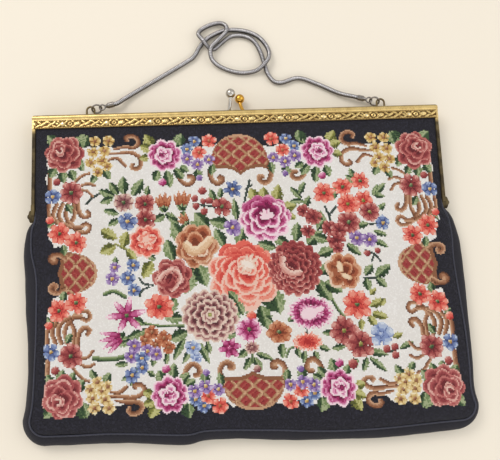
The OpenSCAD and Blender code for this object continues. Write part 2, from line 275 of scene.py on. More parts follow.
# route: place on the surface, and how many chain thicknesses it is raised there
chain = dict(diameter=2.6, length=0.3265, plate=0.95, groove=0.17, step=0.19, sides=14,
             eye=(-84.0, 88.3, 3.445), slope=15.0, mouth=13.625, lead=2.5, top=84.1, gap=0.1,
             route=[(-60, 14.5, .1), (-29, 33, 0), (-23.5, 37.5, 0), (-20.5, 42.5, 0), (-15, 48.3, 0),
                    (-5, 52.5, 0), (6, 52, 0), (14.5, 48, 0), (19.5, 41, .1), (20, 34.5, .8),
                    (17, 29.8, .95), (12, 26.5, .2), (3, 25.7, 0), (-7, 28.8, 0), (-13.2, 33.5, .45),
                    (-14, 40, 1), (-9.5, 45.5, .9), (-5, 50, 1), (-4.5, 54, .85), (-8, 57, .2),
                    (-14, 56.2, 0), (-19.5, 53, .15), (-21, 49.5, .7), (-18.5, 45.5, 1), (-15.5, 42, .3),
                    (-12, 41, 0), (-8, 44.3, 0), (-2, 48.6, 0), (5.5, 48.8, 0), (11.5, 45.5, 0),
                    (15, 39, 0), (17, 32, 0), (18.7, 25.5, 0), (22, 20.3, 0), (27, 19, 0),
                    (37, 21.5, 0), (48, 17.5, 0), (60, 11.5, .15)])


def steelFinish(name, shade, rough, paintedShade=False):
    f = Finish(name, Metallic=1.0)
    cloudy, fine = f.noise(240, 3), f.noise(2600, 2)
    steel = f.mix(cloudy, tint(*(v * 0.72 for v in shade)), tint(*shade))
    if paintedShade:
        # painted shade: the groove attribute darkens the grooves and the sides, leaving the top as a painted
        # highlight
        depth = f.node("ShaderNodeAttribute", {"attribute_name": "groove"}, out="Fac")
        steel = f.mix(depth, steel, tint(44, 38, 38))
    f.feed(Base_Color=steel, Roughness=f.span(fine, 0.3, 0.7, rough * 0.8, rough * 1.25))
    f.bump(fine, 0.00003)
    return f


def makeChain():
    c = chain
    slope, half = math.radians(c["slope"]), c["diameter"] / 2

    def onLine(d):
        x, y, z = c["eye"]
        return (x + d * math.cos(slope), y + d * math.sin(slope), z)

    def plates(k, angle):  # bent plates: a groove every plate, wavy round the chain
        s = k * c["step"] / c["plate"] + 0.18 * np.cos(2 * angle)
        return half * (1 - c["groove"] * np.abs(np.cos(math.pi * s)) ** 6)
    start = [onLine(c["mouth"]), onLine(c["mouth"] + c["lead"])]
    middle = [(x, c["top"] + y, half + k * (c["diameter"] + c["gap"])) for x, y, k in c["route"]]
    line = smoothLine(start + middle + [(-x, y, z) for x, y, z in start[::-1]], c["step"])
    points, faces = tube(line, plates, c["sides"])
    piece = makePiece("snakeChain", points, faces, steelFinish("chainSteel", (226, 224, 228), 0.18, True))
    angle = np.arange(c["sides"])[None, :] * 2 * math.pi / c["sides"]
    depth = (1 - plates(np.arange(len(line))[:, None], angle) / half) / c["groove"]
    # painted shade in the grooves and on the sides, and a painted highlight along the top
    mark(piece, "groove", np.clip(0.75 * depth ** 0.5 + 0.85 * np.abs(np.cos(angle)) ** 3, 0, 0.95))
    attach(piece, "bag")
    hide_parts("chain")
    [v * mm for v in start[0]]
    c["diameter"] * mm
    print("chain:", round(float(np.linalg.norm(np.diff(line, axis=0), axis=1).sum()), 1), "mm")


makeChain()


# The bag's outline: the seam of the solids, and how the soft pouch lies

# sides: height, half width of the seam, how far the pouch's front and back have slid to the right
# bottom: how far the lower edge has risen at places across the bag
bag = dict(flareY=25.0, cornerY=-84.0, cornerR=7.8, lowY=-91.8, barY=76.1, tuckY=77.6, hingeY=27.1,
           hingeZ=5.35, frontZ=9.2, crown=1.8, lift=1.5, bulge=5.0, thick=10.7,
           sides=[(-100, 118.5, 3.2, 1.4), (-87, 118.4, 3.3, 1.5), (-76, 116.5, 3.1, 1.6),
                  (-62, 116.2, 3.6, 2.3), (-37, 115.4, 3.5, 2.4), (-9, 114.4, 2.3, 1.0), (6, 115.8, 1.1, 0.8),
                  (16, 115.5, .5, .4), (20.5, 114.6, .2, .2), (24, 113.3, 0, 0), (31, 113.3, 0, 0),
                  (45, 113.3, 0, 0), (66, 113.3, 0, 0), (90, 113.3, 0, 0)],
           bottom=[(-125, 2.4), (-95, 2.0), (-73, 1.7), (-38, -.5), (-25, 1.0), (6, -.1), (27, -1.6),
                   (50, -2.4), (72, -1.9), (100, -.3), (125, .6)])


def eased(t):
    t = np.clip(t, 0, 1)
    return t * t * (3 - 2 * t)


def along(points, at, column=1):
    line = smoothLine(points, 0.5)
    return np.interp(at, line[:, 0], line[:, column])


def seamX(y):
    return along(bag["sides"], y)


def panelX(y, inset):
    # half width of a panel; above the hinges it goes right up to the arms
    b = bag
    inset = inset * (1 - 0.85 * eased((y - b["hingeY"]) / 8))
    turn = np.sqrt(np.maximum(0, (b["cornerR"] - inset) ** 2 - np.maximum(0, b["cornerY"] - y) ** 2))
    return np.where(y < b["cornerY"], seamX(b["cornerY"]) - b["cornerR"] + turn, seamX(y) - inset)


def crownAt(u, y):
    v = np.clip((y - bag["lowY"]) / (bag["barY"] - bag["lowY"]), 0, 1) * 2 - 1
    return bag["crown"] * (1 - u ** 4) * (1 - v ** 6)


def seamEdge(step, topY):
    # place and outward direction along the seam, from the left side round to the right
    b = bag
    side = np.linspace(topY, b["cornerY"], int((topY - b["cornerY"]) / step) + 1)
    arc = np.radians(np.arange(7.5, 90, 7.5))
    middle = float(seamX(b["cornerY"])) - b["cornerR"]
    low = np.linspace(middle, 0, int(middle / step) + 1)
    half = np.vstack([
        np.stack([seamX(side), side, np.ones_like(side), 0 * side], -1),
        np.stack([middle + b["cornerR"] * np.cos(arc), b["cornerY"] - b["cornerR"] * np.sin(arc),
                  np.cos(arc), -np.sin(arc)], -1),
        np.stack([low, 0 * low + b["lowY"], 0 * low, 0 * low - 1], -1)])
    return np.vstack([half * (-1, 1, -1, 1), half[-2::-1]])


def settle(x, y, front):
    # the soft pouch has slid a little to its right, and its lower edge has risen in places
    return (x + along(bag["sides"], y, 2 if front else 3),
            y + along(bag["bottom"], x) * eased((-30 - y) / 60))


def wander(x, y, size, seed):
    # slow smooth unevenness of cloth, about -1 to 1
    r = np.random.default_rng(seed)
    total = 0 * x
    for _ in range(7):
        a, k, p = r.uniform(0, math.pi), r.uniform(0.6, 1.6) * 2 * math.pi / size, r.uniform(0, 2 * math.pi)
        total = total + np.sin(k * (x * math.cos(a) + y * math.sin(a)) + p)
    return total / 4


# The stitched picture: traditional flowers, leaves, scrolls and baskets in a few shades of yarn each

yarn = dict(
    black=[(25, 24, 33), (32, 31, 41), (42, 41, 54)],
    cream=[(220, 217, 214), (236, 233, 230), (244, 242, 240)],
    rose=[(112, 40, 46), (146, 62, 66), (170, 82, 84), (194, 114, 110), (224, 172, 162)],
    coral=[(176, 50, 50), (212, 78, 70), (228, 106, 92), (238, 150, 132), (243, 200, 184)],
    magenta=[(116, 24, 70), (160, 44, 98), (195, 92, 142), (226, 156, 190), (246, 220, 230)],
    blush=[(206, 140, 130), (222, 172, 160), (236, 204, 192)],
    sand=[(214, 170, 132), (229, 194, 158), (241, 218, 190)],
    ivory=[(228, 186, 166), (238, 212, 196), (244, 230, 220)],
    tan=[(128, 66, 42), (166, 96, 66), (192, 128, 94), (214, 166, 134), (234, 208, 186)],
    mauve=[(94, 50, 56), (130, 76, 80), (164, 112, 112), (198, 158, 148), (228, 204, 190)],
    garnet=[(102, 36, 42), (138, 54, 58), (162, 74, 74), (190, 110, 104), (218, 162, 152)],
    rust=[(122, 58, 38), (164, 88, 60), (190, 118, 84), (216, 162, 128)],
    sky=[(96, 114, 164), (136, 154, 200), (178, 192, 220), (212, 220, 234)],
    blue=[(58, 70, 112), (88, 104, 154), (124, 142, 188), (180, 194, 218)],
    purple=[(90, 66, 124), (128, 96, 160), (162, 134, 188), (206, 190, 218)],
    yellow=[(142, 100, 52), (196, 156, 86), (218, 188, 122), (238, 222, 178)],
    straw=[(160, 120, 70), (208, 174, 112), (229, 205, 150), (243, 231, 196)],
    brown=[(104, 64, 44), (142, 94, 66), (168, 120, 90), (200, 158, 126)],
    lattice=[(150, 108, 80), (186, 142, 108), (210, 172, 138)],
    brick=[(132, 44, 46), (156, 58, 58), (172, 78, 72)],
    green=[(36, 54, 38), (56, 80, 52), (84, 108, 68), (120, 140, 94), (164, 176, 136)],
    lime=[(86, 90, 44), (124, 126, 62), (158, 156, 84), (194, 192, 130)],
    twig=[(44, 56, 52), (66, 80, 72)])

# rings of petals: count, outer and inner end, half width, dark and light end, fullness; then the eye
flowerKinds = dict(
    five=([(5, 1, .08, .44, .2, .95, 1.7)], .21),
    daisy=([(8, 1, .12, .32, .1, 1.05, 1.8)], .16),
    aster=([(7, 1, .1, .31, .3, .9, 1.35), (7, .5, .1, .15, .1, .5, 1.2)], .14),
    spiky=([(24, 1, .1, .09, .35, 1.05, 1.1), (17, .66, .0, .1, .1, .6, 1.1)], .0),
    star=([(6, 1, .05, .26, .1, .9, .9)], .16),
    lily=([(6, 1, .04, .17, .2, 1.1, .8)], .1),
    spray=([(7, 1, .3, .34, .25, .95, 1.6), (5, .6, .0, .3, .0, .7, 1.5)], .0),
    mum=([(24, 1, .4, .1, .25, 1.1, 1.1), (21, .82, .36, .11, -.1, .7, 1.1)], .0))

# full flowers, from the outside in: how many petals, their distance and radius, dark and light end, lip
bloomKinds = dict(
    rose=[(7, .58, .42, .06, .66, .16), (5, .4, .43, .02, .66, .2), (4, .26, .35, .0, .7, .22),
          (3, .12, .24, .05, .76, .22)],
    peony=[(9, .66, .35, .12, 1.0, .1), (8, .5, .27, -.05, .55, .1), (5, .29, .27, .5, 1.2, 0),
           (4, .12, .2, .3, 1.2, 0)],
    ruffled=[(10, .7, .34, .15, .9, .06), (7, .53, .36, .0, .82, .2), (6, .36, .32, .0, .9, .24)],
    shaggy=[(9, .66, .42, .25, .82, .14), (9, .52, .38, .1, .78, .22), (8, .39, .34, .05, .78, .26),
            (7, .27, .28, .05, .8, .28), (5, .14, .2, .2, 1.0, .2)],
    dahlia=[(16, .81, .2, .22, 1.15, 0), (13, .62, .21, .0, 1.3, 0), (9, .41, .2, .0, 1.45, 0),
            (7, .2, .15, .3, 1.5, 0)],
    pompon=[(18, .84, .18, .2, .72, .04), (15, .68, .19, .02, .74, .06), (13, .52, .19, .02, .76, .08),
            (10, .36, .18, .02, .78, .1), (7, .2, .16, .05, .8, .1)])


class Canvas:  # one cell for each stitch, painted from back to front
    def __init__(self, x, y):
        self.x, self.y = x.ravel(), y.ravel()
        self.rgb = np.zeros((x.size, 3))
        self.grain = rng.uniform(-0.5, 0.5, x.size)

    def near(self, x, y, reach):
        return np.nonzero((np.abs(self.x - x) < reach) & (np.abs(self.y - y) < reach))[0]

    def stitch(self, cells, tone, wool, mixed=0.55):
        # tone, 0 to 1, picks a shade; mixed lets neighbours differ
        shades = np.array(yarn[wool], float)
        pick = np.floor(tone * len(shades) + mixed * self.grain[cells])
        self.rgb[cells] = shades[np.clip(pick, 0, len(shades) - 1).astype(int)]

    def local(self, x, y, angle, reach):
        # the cells near a place, and where they lie along and across an angle
        cells = self.near(x, y, reach)
        c, s = math.cos(math.radians(angle)), math.sin(math.radians(angle))
        dx, dy = self.x[cells] - x, self.y[cells] - y
        return cells, dx * c + dy * s, dy * c - dx * s

    def petal(self, x, y, angle, length, half, wool, low, high, fat):
        cells, u, v = self.local(x, y, angle, length + half)
        u, v = u / length, np.abs(v) / half
        wide = np.sin(math.pi * np.clip(u, 0, 1) ** fat) ** 0.6 + 1e-6
        keep = (u > 0) & (u < 1) & (v < wide)
        tone = low + (high - low) * u - 0.42 * (v / wide) ** 3
        self.stitch(cells[keep], tone[keep], wool)

    def disc(self, x, y, r, wool, low=.1, high=.9):
        cells, u, v = self.local(x, y, 120, r + 1)
        d = np.hypot(u, v) / r
        keep = d < 1
        self.stitch(cells[keep], (low + (high - low) * (0.5 + 0.5 * u / r))[keep], wool)

    def flower(self, kind, x, y, size, wool, turn, eye, squash=1.0):
        rings, heart = flowerKinds[kind]
        if kind in ("five", "daisy", "aster"):
            self.patch(x, y, 0.5 * size, 0.5 * size * squash, 0, wool, 0.1, 0.4)
        for k, (count, outer, inner, half, low, high, fat) in enumerate(rings):
            for i in range(count):
                a = math.radians(turn + 23 * k + (i + 0.12 * math.sin(5 * i + x)) * 360 / count)
                c, s = math.cos(a), squash * math.sin(a)
                reach = (outer - inner) * size * math.hypot(c, s) * (1 + 0.07 * math.sin(9 * i + y))
                self.petal(x + inner * size * c, y + inner * size * s, math.degrees(math.atan2(s, c)),
                           reach, half * size, wool, low, high, fat)
        if heart:
            self.disc(x, y, max(1.0, heart * size), eye)

    def cup(self, x, y, r, angle, wool, low, high, lip):
        # a rounded petal with a pale lip on the side it faces
        cells, u, v = self.local(x, y, angle, r * 1.2 + 1)
        turn = np.arctan2(v, u)
        d = np.hypot(u, v) / (r * (1 + 0.05 * np.cos(3 * turn)))
        keep = d < 1
        side = np.clip(0.62 + 0.5 * np.cos(turn), 0, 1)
        tone = low + (high - low) * d ** 1.3 * side + lip * (d > 1 - 1.2 / max(r, 2)) * (side > 0.4)
        self.stitch(cells[keep], tone[keep], wool, 0.45)

    def bloom(self, kind, x, y, size, wool, lean=0.0, shift=0.3, squash=1.0, fade=0.0):
        # the inner rings move towards the side it leans to
        rings = bloomKinds[kind]
        way = math.radians(lean)
        self.patch(x, y, 0.82 * size, 0.82 * size * squash, 0, wool, 0.05, 0.2)
        for k, (count, ring, r, low, high, lip) in enumerate(rings):
            step = shift * k / (len(rings) - 1) * size
            cx, cy = x + step * math.cos(way), y + step * squash * math.sin(way)
            for i in range(count):
                a = way + math.pi + 0.54 * k + (i + 0.14 * math.sin(5 * i + 2 * k)) * 2 * math.pi / count
                self.cup(cx + ring * size * math.cos(a), cy + ring * size * squash * math.sin(a),
                         r * size * (1 + 0.08 * math.sin(7 * i + k)), math.degrees(a), wool,
                         low, high + 0.14 * math.sin(4.3 * i + 2 * k + x) - fade * math.sin(a),
                         lip if fade * math.sin(a) < 0.1 else 0.0)
        return cx, cy

    def heart(self, x, y, size, wool, lean):
        # a pale curl round a dark middle
        c, s = math.cos(math.radians(lean)), math.sin(math.radians(lean))
        curl = [(x + size * (p * c - q * s), y + size * (p * s + q * c))
                for p, q in ((.7, .7), (-.2, 1), (-1, .3), (-.8, -.6), (.1, -1))]
        self.disc(x, y, size * 0.9, wool, 0.05, 0.45)
        self.vine(curl, max(1.3, size * 0.55), "blush")

    def patch(self, x, y, wide, tall, angle, wool, low, high):
        cells, u, v = self.local(x, y, angle, max(wide, tall) + 1)
        d = (u / wide) ** 2 + (v / tall) ** 2 + 0.15 * self.grain[cells]
        keep = d < 1
        self.stitch(cells[keep], (low + (high - low) * (1 - d))[keep], wool, 0.8)

    def leaf(self, x, y, angle, length, half, wool="green", teeth=4):
        cells, u, v = self.local(x, y, angle, length + half)
        u, v = u / length, v / half
        wide = np.sin(math.pi * np.clip(u, 0, 1) ** 0.85) ** 0.8 * (1 - 0.3 * ((u * teeth) % 1)) + 1e-6
        keep = (u > 0) & (u < 1) & (np.abs(v) < wide)
        tone = 0.3 + 0.28 * np.sign(v) + 0.25 * u + 0.16 * (((u + 0.4 * np.abs(v)) * teeth) % 1)
        tone += 0.3 * (np.abs(v) < 0.16)
        self.stitch(cells[keep], tone[keep], wool)

    def vine(self, points, width, wool, tip=1.0, root=1.0):
        line = smoothLine(points, 0.5)
        middle, reach = line.mean(0), np.abs(line - line.mean(0)).max() + width
        cells = self.near(*middle, reach)
        dx, dy = self.x[cells, None] - line[None, :, 0], self.y[cells, None] - line[None, :, 1]
        d = np.hypot(dx, dy)
        k = d.argmin(1)
        here = np.arange(len(cells))
        way = np.gradient(line, axis=0)[k]
        side = np.sign(way[:, 0] * dy[here, k] - way[:, 1] * dx[here, k])
        thin = 1 + (tip - 1) * k / len(line)
        start = root + (1 - root) * np.minimum(1, 2.2 * k / len(line))
        near = d[here, k] / (width / 2 * thin * start)
        keep = near < 1
        self.stitch(cells[keep], (0.55 + 0.42 * side * near)[keep], wool)

    def basket(self, x, y, angle, half, height, point, head):
        # a latticed dome with a rim and two curled handles
        cells, t, s = self.local(x, y, angle, 2 * max(half, height))
        across = np.abs(s) / half
        dome = height * np.maximum(0, 1 - across ** 2.3) ** 0.5
        rim = -point * height * np.exp(-np.abs(s) / 4.6) - 0.08 * height * across ** 4
        keep = (across < 1) & (t < dome) & (t > rim)
        bow = s * (1 + 0.1 * across ** 2)
        a, b = (bow + 1.2 * t) / 9.2 + 0.5, (bow - 1.2 * t) / 9.2 + 0.5
        off = np.minimum(np.abs(a - np.round(a)), np.abs(b - np.round(b)))
        edge = (dome - t < 1.5) | (t - rim < 2.1) | (across > 1 - 1.2 / half)
        self.stitch(cells[keep], 0.3 + 0.5 * ((2 * a) % 1)[keep], "brick")
        for wool, reach in (("brown", 0.14), ("lattice", 0.075)):
            band = keep & (off < reach)
            self.stitch(cells[band], 0.4 + 0.4 * ((a + b) % 1)[band], wool, 0.9)
        self.stitch(cells[keep & edge], 0.4 + 0.45 * np.clip(t / height, 0, 1)[keep & edge], "brown")
        c, n = math.cos(math.radians(angle)), math.sin(math.radians(angle))
        for m in (-1, 1):
            self.vine([(x + c * q * height - n * m * p * half, y + n * q * height + c * m * p * half)
                       for p, q in handles[head]], 2.8, "brown", 1.1)


def insidePolygon(x, y, points):
    inside = np.zeros(x.shape, bool)
    for (ax, ay), (bx, by) in zip(points, points[1:] + points[:1]):
        if ay != by:
            inside ^= ((ay > y) != (by > y)) & (x < (bx - ax) * (y - ay) / (by - ay) + ax)
    return inside


# One corner of the border; the other three are its mirror images, moved a little
border = dict(
    leaves=[
        (104.8, 72.2, 45, 8, 3.8), (94, 71, 125, 9, 3.6), (90, 70, 105, 8, 3.4), (94, 63, 235, 8, 3.4),
        (105.4, 58.6, -60, 7.4, 3.2), (102, 57, -100, 8, 3.4), (97, 57, 250, 7, 3), (79, 57, -120, 7, 2.8),
        (83, 54, -60, 6, 2.4), (51, 71, 60, 9, 3.8, "lime"), (51, 69, 20, 8, 3.4, "lime"),
        (53, 65, -10, 6, 2.8, "lime"), (38, 71, 115, 9, 3.6), (35, 72, 95, 7, 3), (48, 57, -70, 7, 3.2),
        (43.4, 57, -100, 10.5, 3.4), (39, 58, -130, 8, 3.2), (36, 59, -150, 6, 2.6), (17, 60, -80, 7, 2.6),
        (26, 57, -95, 6, 3.2), (101, 14, -100, 6, 2.6), (99, 37, -120, 6, 2.4), (106, 27, -40, 5, 2)],
    vines=[
        ([(73, 69), (67, 70.5), (62, 70.3), (59.2, 73), (60.4, 76.4), (63.6, 77.6), (66.2, 76.4),
          (65.8, 74.8)], 2.5),
        ([(78, 66), (70, 66.6), (64, 67.4), (59, 64.8), (57.8, 60.5), (60, 57.6), (63, 58.2),
          (62.6, 60)], 2.4),
        ([(77, 62), (71.5, 63.6), (67, 59.2)], 2.0),
        ([(36.8, 54.5), (35.4, 50.4), (32, 48.2), (29, 49.6), (28.6, 52.4), (31, 53)], 2.4),
        ([(96, 48), (91, 53), (87, 54.6)], 1.3), ([(94, 46), (88, 48.6), (84, 47.4)], 1.3),
        ([(94, 44.5), (88, 44.6), (84.6, 41.2)], 1.3), ([(108.6, 56), (108.4, 46)], 2.2),
        ([(95.2, 39), (94.6, 31), (96.4, 26), (93, 21.8), (88, 20.8), (86, 23.6), (88, 25.6),
          (90.4, 24.4)], 2.0),
        ([(93, 39), (92, 32.5), (89.4, 29.4), (86.4, 30.4), (87.4, 32.6)], 2.2),
        ([(98.4, 37), (99.6, 31), (97.6, 26.4), (94.6, 23.8), (91, 23.6)], 2.1),
        ([(101.4, 37), (103.4, 31), (101.2, 26.4), (97, 24)], 2.1),
        ([(104.6, 37), (106.6, 31), (104.4, 26.6)], 2.1), ([(109, 37), (109, 31), (106.8, 28)], 1.8)],
    flowers=[
        ("five", "yellow", "brown", [(84, 74, 3.4), (76.4, 74, 3.5), (85, 67.4, 3.4), (78.6, 68, 3.4),
            (86, 61, 3.3), (80, 62, 3.4), (82.4, 55.4, 3.4), (77, 58.6, 3.0)]),
        ("five", "blue", "yellow", [(27, 74, 3.6), (31.4, 69.4, 3.5)]),
        ("five", "coral", "rust", [(18.6, 74, 4.4), (24.6, 67, 4.2)]),
        ("five", "purple", "yellow", [(31.4, 63.4, 3.9), (25.6, 60, 3.7), (19, 62.6, 3.4)]),
        ("daisy", "garnet", "green", [(96.4, 43.6, 6.8)]),
        ("five", "blue", "yellow", [(107, 41.4, 4.6)]),
        ("aster", "coral", "green", [(103, 20.4, 6.4), (93.6, 15, 6.2)])],
    buds=[
        (104.6, 50, 2.2, "garnet"), (46, 50, 2.2, "magenta"), (108.4, 28, 2.2, "coral"),
        (25, 52, 1.8, "purple")],
    rose=(100.4, 66.2, 11.2),
    peony=(44.4, 66.0, 9.8),
    shiftAt=[10, 20, 45, 55, 66, 75],
    lowRight=[4, 1.5, 2, 3.2, -2.0, -3.6],
    lowLeft=[4, 1.5, 2, 4.0, 0.2, -2.2])

fieldEdge = [(-109.6, 70.2), (109.6, 70.2), (109.6, 26), (106, 15), (99, 11), (98, 0), (99, -10), (106, -14),
             (109.4, -27), (109.6, -71), (-109.6, -71), (-109.4, -27), (-106, -15), (-98, -12), (-97, 0),
             (-98, 9), (-106, 13), (-109.6, 26)]

# baskets: place, angle, half width, height, point of the rim, handles
handles = dict(
    hanging=[(.97, -.04), (1.02, -.2), (.96, -.4), (.8, -.5), (.64, -.44), (.62, -.33), (.7, -.32)],
    outward=[(.72, .08), (.86, -.08), (.84, -.24), (.7, -.32), (.55, -.27), (.54, -.18), (.62, -.17)])
baskets = [(-0.4, 57.4, 90, 17, 19.6, .27, "hanging"), (-0.4, -58.4, -90, 17, 16.2, .22, "hanging"),
           (-101.6, -1.8, 0, 11.9, 19.6, .12, "outward"), (103.6, 0.4, 180, 12.1, 20, .12, "outward")]

